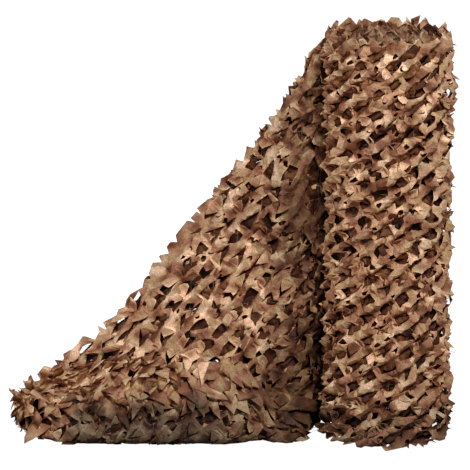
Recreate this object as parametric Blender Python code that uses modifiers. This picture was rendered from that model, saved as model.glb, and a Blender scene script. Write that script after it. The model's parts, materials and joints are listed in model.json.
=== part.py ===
"""Camouflage netting: leaf-cut cloth on a net, wound on a roll that stands on its end,
with a loose length drawn off its back, sloping down and slumped in a heap on the floor.

Metres, +Z up. The origin is on the roll's axis, on the floor. The loose length runs to -X.
"""

import math
from collections import namedtuple

import bmesh
import bpy
import numpy as np
from mathutils import Matrix, Vector, noise

# The net and its roll
NET_WIDTH = 1.50
ROLL_RADIUS = 0.220
TURN_STEP = 0.018
CLOTH = 0.003
CLEARANCE = 0.0003
LEAVING_ANGLE = math.radians(118)

# The roll's solid: its grid, its lifted leaves, its foot and the turns seen at its top end
ROLL_COLUMNS = 42
ROLL_ROWS = 38
COVERED_COLUMNS = 6
ROLL_LEAF = 0.034
ROLL_SWELL = 0.008
ROLL_SWELL_SCALE = 5
RIM_TIP = 0.036
FOOT_RADIUS = 0.190
TURN_PITCH = 0.034
TURN_DIP = 0.022
EYE_RADIUS = 0.026
EYE_DEPTH = 0.085

# The loose length's solid: its grid and its cut gaps, one in each cell of three by three
SHEET_COLUMNS = 45
SHEET_ROWS = 36
CELL = 3
GAP_TURN = math.radians(32)
GAP_TURN_SPREAD = 0.4
GAP_STRETCH = 1.18
SHEET_LEAF = 0.010
SHEET_SWELL = 0.010
SHEET_SWELL_SCALE = 6.5
EDGE_TIP = 0.020
HELD_COLUMNS = 2

# How the loose length lies: the height over which its leaves flatten to the floor, the space
# between its layers, and the height of its nose as a share of its crest's
FLOOR_BAND = 0.035
LAYER_GAP = 0.055
NOSE_SHARE = 0.45
FINE_SECTIONS = 240
FINE_POINTS = 160

# Seeds of the scattered leaf heights and turns
ROLL_LEAF_SEED = 11
RIM_SEED = 17
SHEET_LEAF_SEED = 3
GAP_SEED = 7

# Where the loose length leaves the roll
START_RADIUS = ROLL_RADIUS + CLEARANCE + CLOTH / 2
START_X = START_RADIUS * math.cos(LEAVING_ANGLE)
START_Y = START_RADIUS * math.sin(LEAVING_ANGLE)

# One row for each section of the loose length, from the roll to its free end. The cloth
# falls from its top edge over a crest, a nose and a toe, runs back on the floor to its heel,
# and climbs the back of the heap before it turns forward inside.
Section = namedtuple(
    "Section",
    "top_x top_y top_z foot_x sag crest_y crest_z nose_y toe_y heel_y back_z inner_y",
)
SECTIONS = (
    Section(
        START_X, START_Y, 1.490, START_X, 0.000, START_Y, 0.150, START_Y, START_Y, START_Y, 0.002, START_Y
    ),
    Section(-0.235, 0.120, 1.425, -0.240, 0.000, 0.116, 0.150, 0.112, 0.112, 0.140, 0.002, 0.140),
    Section(-0.295, 0.096, 1.322, -0.272, 0.020, 0.010, 0.110, -0.020, -0.005, 0.115, 0.002, 0.115),
    Section(-0.380, 0.120, 1.205, -0.350, 0.060, -0.120, 0.085, -0.170, -0.150, 0.090, 0.002, 0.090),
    Section(-0.460, 0.140, 1.065, -0.460, 0.070, -0.080, 0.165, -0.115, -0.120, 0.120, 0.002, 0.120),
    Section(-0.560, 0.160, 0.935, -0.560, 0.070, -0.120, 0.185, -0.190, -0.165, 0.170, 0.012, 0.170),
    Section(-0.680, 0.190, 0.770, -0.690, 0.070, -0.110, 0.170, -0.180, -0.160, 0.235, 0.130, 0.240),
    Section(-0.800, 0.215, 0.615, -0.810, 0.060, -0.115, 0.165, -0.190, -0.165, 0.260, 0.250, 0.250),
    Section(-0.930, 0.235, 0.435, -0.935, 0.050, -0.110, 0.145, -0.185, -0.160, 0.275, 0.290, 0.190),
    Section(-1.060, 0.245, 0.300, -1.055, 0.035, -0.110, 0.142, -0.185, -0.160, 0.285, 0.215, 0.080),
    Section(-1.180, 0.240, 0.215, -1.165, 0.020, -0.100, 0.138, -0.165, -0.145, 0.275, 0.150, 0.030),
    Section(-1.280, 0.225, 0.140, -1.262, 0.008, -0.060, 0.120, -0.115, -0.100, 0.255, 0.090, 0.040),
    Section(-1.340, 0.205, 0.100, -1.320, 0.004, 0.010, 0.096, -0.030, -0.015, 0.225, 0.060, 0.080),
    Section(-1.368, 0.180, 0.078, -1.350, 0.000, 0.085, 0.074, 0.060, 0.075, 0.190, 0.045, 0.120),
)


def clear_scene():
    for thing in list(bpy.data.objects):
        bpy.data.objects.remove(thing)


def make_collection(name):
    collection = bpy.data.collections.new(name)
    bpy.context.scene.collection.children.link(collection)
    return collection


def make_material(name, colour, roughness):
    material = bpy.data.materials.new(name)
    material.use_nodes = True
    shader = material.node_tree.nodes["Principled BSDF"]
    shader.inputs["Base Color"].default_value = (*colour, 1)
    shader.inputs["Roughness"].default_value = roughness
    shader.inputs["Metallic"].default_value = 0
    material.diffuse_color = (*colour, 1)
    return material


def make_object(name, bm, collection, material):
    mesh = bpy.data.meshes.new(name)
    bm.to_mesh(mesh)
    bm.free()
    thing = bpy.data.objects.new(name, mesh)
    thing.data.materials.append(material)
    collection.objects.link(thing)
    return thing


def scatter(i, j, seed):
    """A repeatable value from -1 to 1 for the grid point (i, j)."""
    return noise.cell_vector(Vector((i + 0.5, j + 0.5, seed + 0.5))).x * 2 - 1


def smooth_step(value, low, high):
    share = np.clip((value - low) / (high - low), 0, 1)
    return share * share * (3 - 2 * share)


def smooth_curve(knots, count):
    """Points along the Catmull-Rom curve through the knots, as many from knot to knot."""
    padded = np.vstack([2 * knots[0] - knots[1], knots, 2 * knots[-1] - knots[-2]])
    places = np.linspace(0, len(knots) - 1, count)
    first = np.clip(places.astype(int), 0, len(knots) - 2)
    t = (places - first)[:, None]
    before, start, end, after = (padded[first + step] for step in range(4))
    straight = end - before
    bend = 2 * before - 5 * start + 4 * end - after
    twist = 3 * start - before - 3 * end + after
    return start + 0.5 * t * (straight + t * (bend + t * twist))


def even_points(line, along, count):
    """Points at equal steps of the lengths in along, read from a dense line."""
    wanted = np.linspace(0, along[-1], count)
    columns = [np.interp(wanted, along, column) for column in line.T]
    return np.array(columns).T


def running_length(steps):
    return np.concatenate([[0], np.cumsum(steps)])


def section_knots(section):
    """The bends of one section, from the top edge to the edge inside the heap."""
    floor = CLOTH / 2
    slope_x = (section.top_x + section.foot_x) / 2
    slope_y = (section.top_y + section.crest_y + section.sag) / 2
    slope_z = (section.top_z + section.crest_z) / 2
    nose_z = NOSE_SHARE * section.crest_z
    heel_z = max(section.back_z / 4, floor)
    inner_z = section.crest_z - LAYER_GAP if section.back_z > LAYER_GAP else floor
    return np.array(
        [
            (section.top_x, section.top_y, section.top_z),
            (slope_x, slope_y, slope_z),
            (section.foot_x, section.crest_y, section.crest_z),
            (section.foot_x, section.nose_y, nose_z),
            (section.foot_x, section.toe_y, floor),
            (section.foot_x, (section.toe_y + section.heel_y) / 2, floor),
            (section.foot_x, section.heel_y, heel_z),
            (section.top_x, section.heel_y + CLOTH * 3, max(section.back_z, floor)),
            (section.top_x, section.inner_y, max(inner_z, floor)),
        ]
    )


def drape_points():
    """The loose length's middle surface: an array of columns, rows and coordinates."""
    paths = []
    for row in smooth_curve(np.array(SECTIONS), FINE_SECTIONS):
        curve = smooth_curve(section_knots(Section(*row)), FINE_POINTS)
        curve[:, 2] = np.maximum(curve[:, 2], CLOTH / 2)
        steps = np.linalg.norm(np.diff(curve, axis=0), axis=1)
        paths.append(even_points(curve, running_length(steps), SHEET_ROWS + 1))
    paths = np.array(paths)
    steps = np.linalg.norm(np.diff(paths, axis=0), axis=2).mean(axis=1)
    flat = paths.reshape(FINE_SECTIONS, -1)
    even = even_points(flat, running_length(steps), SHEET_COLUMNS + 1)
    return even.reshape(SHEET_COLUMNS + 1, SHEET_ROWS + 1, 3)


def surface_directions(points):
    """Unit directions along the columns, along the rows and out of the cloth."""
    along = np.gradient(points, axis=0)
    across = np.gradient(points, axis=1)
    outward = np.cross(across, along)
    return [way / np.linalg.norm(way, axis=2, keepdims=True) for way in (along, across, outward)]


def is_gap(i, j):
    """Whether the square at column i and row j is cut out. Gaps run in slanting lines."""
    inside = 0 < i < SHEET_COLUMNS - 1 and 0 < j < SHEET_ROWS - 1
    return inside and i % CELL == 1 and (j + i // CELL) % CELL == 1


def turn_gap(grid, along, across, i, j):
    """Turns and stretches the square gap at (i, j) into a slanting leaf shape."""
    corners = [(i, j), (i + 1, j), (i + 1, j + 1), (i, j + 1)]
    centre = np.mean([grid[corner] for corner in corners], axis=0)
    turn = GAP_TURN * (1 + GAP_TURN_SPREAD * scatter(i, j, GAP_SEED))
    for corner in corners:
        arm = grid[corner] - centre
        a = arm @ along[corner]
        b = arm @ across[corner]
        lifted = arm - a * along[corner] - b * across[corner]
        new_a = a * math.cos(turn) - b * math.sin(turn)
        new_b = (a * math.sin(turn) + b * math.cos(turn)) * GAP_STRETCH
        grid[corner] = centre + lifted + new_a * along[corner] + new_b * across[corner]


def leaf_grid():
    """The sheet's points, with its folds, lifted leaves, turned gaps and tipped edges."""
    grid = drape_points()
    along, across, outward = surface_directions(grid)
    lie = smooth_step(grid[:, :, 2], CLOTH, FLOOR_BAND)
    lie[:HELD_COLUMNS] = 0
    for (i, j), free in np.ndenumerate(lie):
        swell = noise.noise(Vector(grid[i, j]) * SHEET_SWELL_SCALE) * SHEET_SWELL
        leaf = scatter(i, j, SHEET_LEAF_SEED) * SHEET_LEAF
        grid[i, j] += outward[i, j] * (swell + leaf) * free
    for i, j in np.ndindex(SHEET_COLUMNS, SHEET_ROWS):
        if is_gap(i, j):
            turn_gap(grid, along, across, i, j)
    grid[1::2, 0] -= across[1::2, 0] * EDGE_TIP
    grid[-1, 1::2] += along[-1, 1::2] * EDGE_TIP
    grid[:, :, 2] = np.maximum(grid[:, :, 2], CLOTH / 2)
    return grid


def build_sheet(collection, material):
    """The loose length: a flat grid with its gaps cut out, laid on the leaf grid."""
    bm = bmesh.new()
    bmesh.ops.create_grid(bm, x_segments=SHEET_COLUMNS, y_segments=SHEET_ROWS, size=1)
    for vert in bm.verts:
        i = round((vert.co.x + 1) / 2 * SHEET_COLUMNS)
        j = round((1 - vert.co.y) / 2 * SHEET_ROWS)
        vert.co = Vector((i, j, 0))
    middles = [(face, face.calc_center_median()) for face in bm.faces]
    cut = [face for face, middle in middles if is_gap(int(middle.x), int(middle.y))]
    bmesh.ops.delete(bm, geom=cut, context="FACES")
    grid = leaf_grid()
    for vert in bm.verts:
        vert.co = Vector(grid[round(vert.co.x), round(vert.co.y)])
    sheet = make_object("loose_length", bm, collection, material)
    solidify = sheet.modifiers.new("cloth", "SOLIDIFY")
    solidify.thickness = CLOTH
    solidify.offset = 0


def roll_profile():
    """The roll's half section: the foot, the side and the turns of its top end."""
    side = [(ROLL_RADIUS, NET_WIDTH * row / ROLL_ROWS) for row in range(ROLL_ROWS + 1)]
    turn_radii = np.arange(ROLL_RADIUS - TURN_PITCH / 2, EYE_RADIUS + TURN_PITCH / 4, -TURN_PITCH / 2)
    turns = [
        (radius, NET_WIDTH - TURN_DIP * (1 - index % 2)) for index, radius in enumerate(turn_radii)
    ]
    eye = [
        (EYE_RADIUS, NET_WIDTH - TURN_DIP),
        (EYE_RADIUS, NET_WIDTH - EYE_DEPTH),
        (0, NET_WIDTH - EYE_DEPTH),
    ]
    return [(0, 0), (FOOT_RADIUS, 0), *side, *turns, *eye]


def shape_roll(vert):
    """Winds the side in by one turn, lifts its leaves and tips its top rim."""
    radius = math.hypot(vert.co.x, vert.co.y)
    if radius < ROLL_RADIUS - CLEARANCE:
        return
    behind = (LEAVING_ANGLE - math.atan2(vert.co.y, vert.co.x)) % (2 * math.pi)
    column = round(behind / (2 * math.pi) * ROLL_COLUMNS) % ROLL_COLUMNS
    row = round(vert.co.z / NET_WIDTH * ROLL_ROWS)
    if column == 0:
        return
    bare = smooth_step(ROLL_COLUMNS - column, 1, COVERED_COLUMNS)
    swell = noise.noise(vert.co * ROLL_SWELL_SCALE) * ROLL_SWELL
    leaf = ROLL_LEAF * ((1 + scatter(column, row, ROLL_LEAF_SEED)) / 2) ** 2
    grown = 1 + ((swell + leaf) * bare - TURN_STEP * column / ROLL_COLUMNS) / radius
    vert.co.x *= grown
    vert.co.y *= grown
    if row == ROLL_ROWS:
        vert.co.z += RIM_TIP * scatter(column, row, RIM_SEED) * bare


def build_roll(collection, material):
    """The wound roll: its half section spun round the axis, then shaped leaf by leaf."""
    bm = bmesh.new()
    outline = [bm.verts.new((radius, 0, height)) for radius, height in roll_profile()]
    edges = [bm.edges.new(pair) for pair in zip(outline, outline[1:])]
    bmesh.ops.spin(
        bm,
        geom=outline + edges,
        cent=(0, 0, 0),
        axis=(0, 0, 1),
        angle=2 * math.pi,
        steps=ROLL_COLUMNS,
        use_merge=True,
    )
    bmesh.ops.rotate(bm, verts=bm.verts, matrix=Matrix.Rotation(LEAVING_ANGLE, 3, "Z"))
    bmesh.ops.remove_doubles(bm, verts=bm.verts, dist=CLEARANCE / 10)
    for vert in bm.verts:
        shape_roll(vert)
    bmesh.ops.recalc_face_normals(bm, faces=bm.faces)
    make_object("net_roll", bm, collection, material)


clear_scene()
netting = make_collection("camouflage_netting")
cloth = make_material("leaf_cut_cloth", (0.36, 0.22, 0.13), 0.85)
build_roll(netting, cloth)
build_sheet(netting, cloth)
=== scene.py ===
"""The looks of a roll of leaf-cut camouflage netting with a loose length slumped beside it."""

import json
import math
from collections import namedtuple

import bpy
import numpy as np
from mathutils import Vector, geometry, kdtree
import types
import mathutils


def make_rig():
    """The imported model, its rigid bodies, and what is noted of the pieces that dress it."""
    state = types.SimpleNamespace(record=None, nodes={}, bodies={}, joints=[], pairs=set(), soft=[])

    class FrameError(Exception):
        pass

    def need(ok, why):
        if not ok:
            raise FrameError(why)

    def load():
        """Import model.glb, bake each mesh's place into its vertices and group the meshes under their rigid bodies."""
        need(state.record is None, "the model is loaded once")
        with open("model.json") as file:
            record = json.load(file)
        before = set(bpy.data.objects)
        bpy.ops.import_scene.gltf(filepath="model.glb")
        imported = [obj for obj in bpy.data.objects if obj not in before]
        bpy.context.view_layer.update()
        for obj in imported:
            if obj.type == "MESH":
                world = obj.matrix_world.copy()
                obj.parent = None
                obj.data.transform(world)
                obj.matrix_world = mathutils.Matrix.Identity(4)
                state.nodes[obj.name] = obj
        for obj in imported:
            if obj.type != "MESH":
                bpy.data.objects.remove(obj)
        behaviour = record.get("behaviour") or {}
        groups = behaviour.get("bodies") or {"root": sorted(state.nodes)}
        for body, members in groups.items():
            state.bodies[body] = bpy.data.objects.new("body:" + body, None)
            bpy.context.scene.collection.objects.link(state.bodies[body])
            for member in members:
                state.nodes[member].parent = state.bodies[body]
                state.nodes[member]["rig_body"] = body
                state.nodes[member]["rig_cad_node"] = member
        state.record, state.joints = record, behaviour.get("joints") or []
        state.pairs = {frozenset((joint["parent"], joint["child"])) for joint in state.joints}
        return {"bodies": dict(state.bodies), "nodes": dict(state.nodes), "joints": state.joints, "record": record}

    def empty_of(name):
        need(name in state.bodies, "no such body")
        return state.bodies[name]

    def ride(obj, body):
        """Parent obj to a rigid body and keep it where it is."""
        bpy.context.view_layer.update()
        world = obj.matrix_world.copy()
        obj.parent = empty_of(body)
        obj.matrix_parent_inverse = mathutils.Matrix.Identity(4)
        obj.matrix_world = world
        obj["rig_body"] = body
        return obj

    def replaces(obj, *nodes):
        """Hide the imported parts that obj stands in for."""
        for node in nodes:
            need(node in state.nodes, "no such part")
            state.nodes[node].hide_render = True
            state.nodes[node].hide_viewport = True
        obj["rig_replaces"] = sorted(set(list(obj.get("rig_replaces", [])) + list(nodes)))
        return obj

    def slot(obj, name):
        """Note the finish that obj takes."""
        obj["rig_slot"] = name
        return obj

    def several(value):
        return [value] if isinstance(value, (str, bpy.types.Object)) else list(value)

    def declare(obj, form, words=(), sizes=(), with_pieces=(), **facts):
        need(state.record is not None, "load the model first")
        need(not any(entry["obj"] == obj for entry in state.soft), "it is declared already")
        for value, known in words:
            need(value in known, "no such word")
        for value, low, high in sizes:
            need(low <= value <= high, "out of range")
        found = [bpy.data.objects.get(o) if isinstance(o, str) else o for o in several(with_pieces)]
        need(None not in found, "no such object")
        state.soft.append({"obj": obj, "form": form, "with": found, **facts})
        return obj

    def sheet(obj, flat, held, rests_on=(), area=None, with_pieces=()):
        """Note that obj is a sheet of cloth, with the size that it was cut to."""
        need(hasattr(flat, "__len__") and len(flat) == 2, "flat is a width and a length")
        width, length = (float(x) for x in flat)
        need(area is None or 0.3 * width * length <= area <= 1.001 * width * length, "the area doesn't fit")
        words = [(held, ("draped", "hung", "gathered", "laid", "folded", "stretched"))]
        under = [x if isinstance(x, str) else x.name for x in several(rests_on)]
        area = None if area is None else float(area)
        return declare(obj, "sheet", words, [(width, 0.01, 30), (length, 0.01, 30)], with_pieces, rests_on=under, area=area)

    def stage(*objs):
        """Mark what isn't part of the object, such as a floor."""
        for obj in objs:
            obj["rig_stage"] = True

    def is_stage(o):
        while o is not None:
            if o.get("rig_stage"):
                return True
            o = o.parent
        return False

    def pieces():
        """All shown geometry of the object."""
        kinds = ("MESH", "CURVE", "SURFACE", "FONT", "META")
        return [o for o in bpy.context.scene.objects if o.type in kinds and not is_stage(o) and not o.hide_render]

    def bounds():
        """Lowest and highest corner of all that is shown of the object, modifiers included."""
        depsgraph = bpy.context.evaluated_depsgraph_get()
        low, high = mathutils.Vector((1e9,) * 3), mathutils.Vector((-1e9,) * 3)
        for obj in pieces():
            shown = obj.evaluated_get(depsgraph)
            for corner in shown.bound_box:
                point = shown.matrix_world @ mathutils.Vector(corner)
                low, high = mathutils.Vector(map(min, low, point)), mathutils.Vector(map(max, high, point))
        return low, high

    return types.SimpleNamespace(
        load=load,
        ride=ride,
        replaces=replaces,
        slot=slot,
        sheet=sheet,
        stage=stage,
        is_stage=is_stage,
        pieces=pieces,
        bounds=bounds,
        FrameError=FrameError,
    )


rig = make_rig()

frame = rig.load()
cad_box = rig.bounds()
scene = bpy.context.scene


# Camera
# It looks along +Y from far off and a little above, so upright edges stay nearly parallel. Its
# angle follows from half the width that it shows at its target.
CAMERA_DISTANCE = 12.0
CAMERA_DROP = math.radians(14.4)
CAMERA_TARGET = Vector((-0.548, 0, 0.745))
FRAME_HALF_WIDTH = 0.8527


def in_scene(name, data):
    """A new object in the scene, of the data given."""
    made = bpy.data.objects.new(name, data)
    scene.collection.objects.link(made)
    return made


camera_data = bpy.data.cameras.new("studio_camera")
camera = in_scene("studio_camera", camera_data)
camera_way = Vector((0, -math.cos(CAMERA_DROP), math.sin(CAMERA_DROP)))
camera.location = CAMERA_TARGET + camera_way * CAMERA_DISTANCE
camera.rotation_euler = (-camera_way).to_track_quat("-Z", "Y").to_euler()
camera_data.angle = 2 * math.atan(FRAME_HALF_WIDTH / CAMERA_DISTANCE)
camera_data.clip_end = 100
scene.camera = camera


# Outer turn of the roll
# Woven polyester cloth, printed in soft brown patches and slit leaf by leaf, so that the leaves
# stand out of it and leave holes. It is cut flat, its leaves are curled, and it is wound up.

# The cloth, the distance between its points, how uneven that is, and how far these stay off cuts
CLOTH_THICKNESS = 0.0006
CLOTH_STEP = 0.0165
STEP_JITTER = 0.28
CUT_CLEAR = 0.45
# A leaf of scale 1, how far apart leaves stand along and across their rows, and how these vary
LEAF_LENGTH, LEAF_WIDTH = 0.056, 0.036
LEAVES_APART, FLOWS_APART = 0.066, 0.057
LEAF_SHIFT = 0.004
LEAF_SIZES = (0.86, 1.08)
# The small leaves between them
SMALL_LEAF = 0.44
SMALL_SIZES = (0.8, 1.25)
SMALL_SPREAD = 0.35
SMALL_SHAPES = (0, 8)
SMALL_CLEAR, SLIT_CLEAR = 0.013, 0.004
# The border: how far leaves stay off it, and the tips along it
BORDER_MARGIN = 0.030
TIP_SPACING, TIP_HEIGHT = 0.036, 0.022
TIP_STEPS, TIP_RISES = (0.65, 1.7), (0.5, 1.3)
TIP_PLACES, TIP_ENDS_APART = (0.12, 0.92), 0.04
LOWER_TIPS = (0.2, 0.9)
# How a leaf bends: shares of its style's bend where it stands, and angles where it is folded
# over. Its tip curls past a share of its length, and curled it is narrower by a share.
STANDING_BENDS = (0.5, 1.4)
FOLDED_BENDS, FOLDED_TIPS = (2.2, 2.8), (-0.3, 0.3)
TIP_CURLS_FROM = 0.35
CURLED_NARROWER = 0.12
# The roll, the angle where the loose length leaves it, and the way its leaves flow
ROLL_HEIGHT = 1.485
OUTER_RADIUS = 0.220
TURN_STEP = 0.014
LEAVING_ANGLE = math.radians(118)
ROLL_FLOW = math.radians(34)
# Crisp relief along the holes and on the small planes, the angle that shows as a crease, and the
# lowest place where cloth may lie
RIM_CURL = 0.0040
FACET_RELIEF = 0.0048
CREASE_ANGLE = math.radians(7)
LOWEST = 0.0012

# Outlines of the leaves, as shares of a leaf's length and width, from hinge end to hinge end.
# The shares after them say how often each is cut, in the roll and in the loose length.
LEAF_SHAPES = (
    # A fin with its point to one side
    ((0, -0.48), (0.22, -0.58), (0.50, -0.50), (0.74, -0.28), (0.88, 0.02), (1.06, 0.34),
     (0.80, 0.30), (0.56, 0.42), (0.30, 0.40), (0, 0.48)),
    # A lobe with one small notch
    ((0, -0.44), (0.25, -0.54), (0.60, -0.58), (0.88, -0.34), (1.00, -0.02), (0.84, 0.10),
     (0.92, 0.42), (0.60, 0.52), (0.30, 0.44), (0, 0.44)),
    # A fork with two points
    ((0, -0.48), (0.30, -0.46), (0.62, -0.58), (1.04, -0.50), (0.82, -0.18), (0.72, 0.04),
     (0.88, 0.24), (1.02, 0.54), (0.60, 0.48), (0.30, 0.52), (0, 0.46)),
    # A narrow blade
    ((0, -0.50), (0.30, -0.42), (0.60, -0.30), (0.84, -0.12), (1.12, 0.08), (0.84, 0.20),
     (0.60, 0.35), (0.30, 0.48), (0, 0.50)),
    # A shard with three uneven points
    ((0, -0.50), (0.34, -0.58), (0.60, -0.40), (1.06, -0.32), (0.82, -0.02), (0.98, 0.28),
     (0.66, 0.26), (0.50, 0.54), (0.22, 0.40), (0, 0.50)),
    # A slanting flap with a straight end
    ((0, -0.50), (0.50, -0.42), (1.00, -0.34), (1.10, 0.08), (1.02, 0.52), (0.50, 0.54),
     (0, 0.48)),
    # A three-cornered flap
    ((0, -0.56), (0.40, -0.46), (0.80, -0.30), (1.16, -0.16), (0.78, 0.12), (0.40, 0.36),
     (0, 0.54)),
    # A flap with its end cut to a swallow's tail
    ((0, -0.46), (0.50, -0.52), (1.08, -0.56), (0.80, -0.06), (1.00, 0.44), (0.50, 0.48),
     (0, 0.50)),
    # A half moon
    ((0, -0.50), (0.26, -0.52), (0.56, -0.44), (0.80, -0.24), (0.94, 0.06), (0.86, 0.34),
     (0.58, 0.46), (0.28, 0.50), (0, 0.46)),
    # A crescent
    ((0, -0.46), (0.24, -0.66), (0.60, -0.70), (0.92, -0.46), (1.08, -0.04), (1.04, 0.36),
     (0.78, 0.10), (0.50, 0.04), (0.24, 0.18), (0, 0.46)),
)
ROLL_SHARES = (0.08, 0.10, 0.06, 0.04, 0.06, 0.20, 0.02, 0.04, 0.24, 0.16)
SHEET_SHARES = (0.12, 0.04, 0.06, 0.16, 0.10, 0.22, 0.16, 0.14, 0.0, 0.0)

Leaf = namedtuple("Leaf", "outline hinge way length")
Curl = namedtuple("Curl", "bend hinge tip twist side")
# How a cloth's leaves lie: the way they flow, the share of each shape, how far they bend, how
# many are folded over or pushed through to the back, the share of a leaf that bends, how much
# they curl and twist, and their scale. Then how much their direction varies, the shares of the
# usual width and of the usual distance apart, how many folded ones are tucked behind, how far
# they stand at some distances along the cloth, the share of their hole's length that they keep,
# how far the bands between them bulge, and how far any may stand out.
LeafStyle = namedtuple(
    "LeafStyle",
    "flow shares bend folded turned hinge curl twist scale spread slim apart tucked stands"
    " shrink bulge tallest",
    defaults=(0.16, 1.0, 1.0, 0.1, ((0, 1), (1, 1)), 0.92, 0.011, 0.060),
)


def distances(path):
    """How far each point of a path is along it."""
    return np.concatenate([[0], np.cumsum(np.linalg.norm(np.diff(path, axis=0), axis=1))])


def read_off(table, place):
    """What a table of pairs says at a place, straight from pair to pair."""
    return np.interp(place, *np.transpose(table))


def inside_outline(outline, points):
    """Which points lie inside a closed outline, and how far each is from its nearest side."""
    start, end = outline, np.roll(outline, -1, axis=0)
    side = end - start
    x, y = points[:, 0, None], points[:, 1, None]
    crosses = (start[:, 1] > y) != (end[:, 1] > y)
    with np.errstate(divide="ignore", invalid="ignore"):
        meet = start[:, 0] + (y - start[:, 1]) * side[:, 0] / side[:, 1]
    inside = (crosses & (x < meet)).sum(axis=1) % 2 == 1
    share = ((points[:, None] - start) * side).sum(axis=2) / (side**2).sum(axis=1)
    nearest = start + np.clip(share, 0, 1)[..., None] * side
    return inside, np.linalg.norm(points[:, None] - nearest, axis=2).min(axis=1)


def one_leaf(centre, turn, size, side, shape, slim=1.0):
    """A leaf about a centre, pointing along the turn, with its outline in flat places."""
    way = np.array([math.cos(turn), math.sin(turn)])
    left = np.array([-way[1], way[0]])
    hinge = centre - way * LEAF_LENGTH * size / 2
    outline = [
        hinge
        + way * along * LEAF_LENGTH * size
        + left * across * side * LEAF_WIDTH * size * slim
        for along, across in shape
    ]
    return Leaf(np.array(outline[::side]), hinge, way, LEAF_LENGTH * size)


def cut_leaves(border, style, rng):
    """The leaves slit in a flat cloth: slanting rows along the flow, heads and tails in turn,
    and small ones in the bands between."""
    along = np.array([math.cos(style.flow), math.sin(style.flow)])
    across = np.array([-along[1], along[0]])
    low, high = border.min(axis=0), border.max(axis=0)
    reach = math.hypot(*(high - low)) / 2
    leaves_apart = LEAVES_APART * style.scale * style.apart
    flows_apart = FLOWS_APART * style.scale
    rows = math.ceil(reach / flows_apart)
    places = math.ceil(reach / leaves_apart)
    large, small = [], []
    for row in range(-rows, rows + 1):
        for place in range(-places, places + 1):
            distance = (place + 0.5 * (row % 2)) * leaves_apart
            centre = (low + high) / 2 + along * distance + across * row * flows_apart
            shape = LEAF_SHAPES[rng.choice(len(LEAF_SHAPES), p=style.shares)]
            large.append(one_leaf(
                centre + rng.uniform(-LEAF_SHIFT, LEAF_SHIFT, 2),
                style.flow + rng.normal(0, style.spread) + math.pi * ((place + row) % 2),
                style.scale * rng.uniform(*LEAF_SIZES), rng.choice((-1, 1)), shape, style.slim,
            ))
            between = centre + along * leaves_apart * rng.choice((0.25, 0.75))
            small.append(one_leaf(
                between + across * flows_apart * 0.5 + rng.uniform(-LEAF_SHIFT, LEAF_SHIFT, 2),
                style.flow + rng.normal(0, SMALL_SPREAD) + math.pi * rng.choice((0, 1)),
                SMALL_LEAF * rng.uniform(*SMALL_SIZES), rng.choice((-1, 1)),
                LEAF_SHAPES[rng.choice(SMALL_SHAPES)],
            ))
    kept = []
    for leaves in (large, small):
        centres = np.array([leaf.outline.mean(axis=0) for leaf in leaves])
        inside, distance = inside_outline(border, centres)
        fits = inside & (distance > BORDER_MARGIN)
        kept.append([leaf for leaf, fit in zip(leaves, fits) if fit])
    taken = np.concatenate([leaf.outline for leaf in kept[0]] or [np.zeros((1, 2))])
    clear = [
        leaf
        for leaf in kept[1]
        if np.linalg.norm(leaf.outline[:, None] - taken, axis=2).min() > SLIT_CLEAR
        and np.linalg.norm(leaf.outline.mean(axis=0) - taken, axis=1).min() > SMALL_CLEAR
    ]
    return kept[0] + clear


def leaf_curls(count, style, rng):
    """How each leaf stands: bent up, folded over its hinge, or pushed through to the back."""
    curls = []
    for _ in range(count):
        side = -1 if rng.random() < style.turned else 1
        if rng.random() < style.folded:
            angle, tip = rng.uniform(*FOLDED_BENDS), rng.uniform(*FOLDED_TIPS)
            side = -1 if rng.random() < style.tucked else 1
        else:
            angle = style.bend * rng.uniform(*STANDING_BENDS)
            tip = style.curl * rng.uniform(-1, 1)
        curls.append(Curl(angle, style.hinge, tip, style.twist * rng.uniform(-1, 1), side))
    return curls


def curled(leaf, curl, points, style):
    """Where flat points of a leaf lie once it is bent up at its hinge and twisted. The net is
    pulled out so that its slits open, and the leaf is shorter than its hole by the shrink."""
    left = np.array([-leaf.way[1], leaf.way[0]])
    offset = points - leaf.hinge
    along, across = offset @ leaf.way, offset @ left
    steps = np.linspace(0, 1.1 * leaf.length, 24)
    share = steps / leaf.length
    slope = curl.bend * np.clip(share / curl.hinge, 0, 1)
    slope += curl.tip * np.clip((share - TIP_CURLS_FROM) / (1 - TIP_CURLS_FROM), 0, 1)
    run, rise = (
        np.concatenate([[0], np.cumsum(part(slope[1:]) * np.diff(steps))]) * style.shrink
        for part in (np.cos, np.sin)
    )
    share = np.clip(along / leaf.length, 0, 1.1)
    reach = np.interp(along, steps, run)
    height = np.interp(along, steps, rise) + across * math.sin(curl.twist) * share
    narrow = 1 - CURLED_NARROWER * np.clip(share * 3, 0, 1)
    place = leaf.hinge + reach[:, None] * leaf.way + (across * narrow)[:, None] * left
    height = style.tallest * np.tanh(height / style.tallest)
    return np.column_stack([place, height * curl.side])


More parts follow.
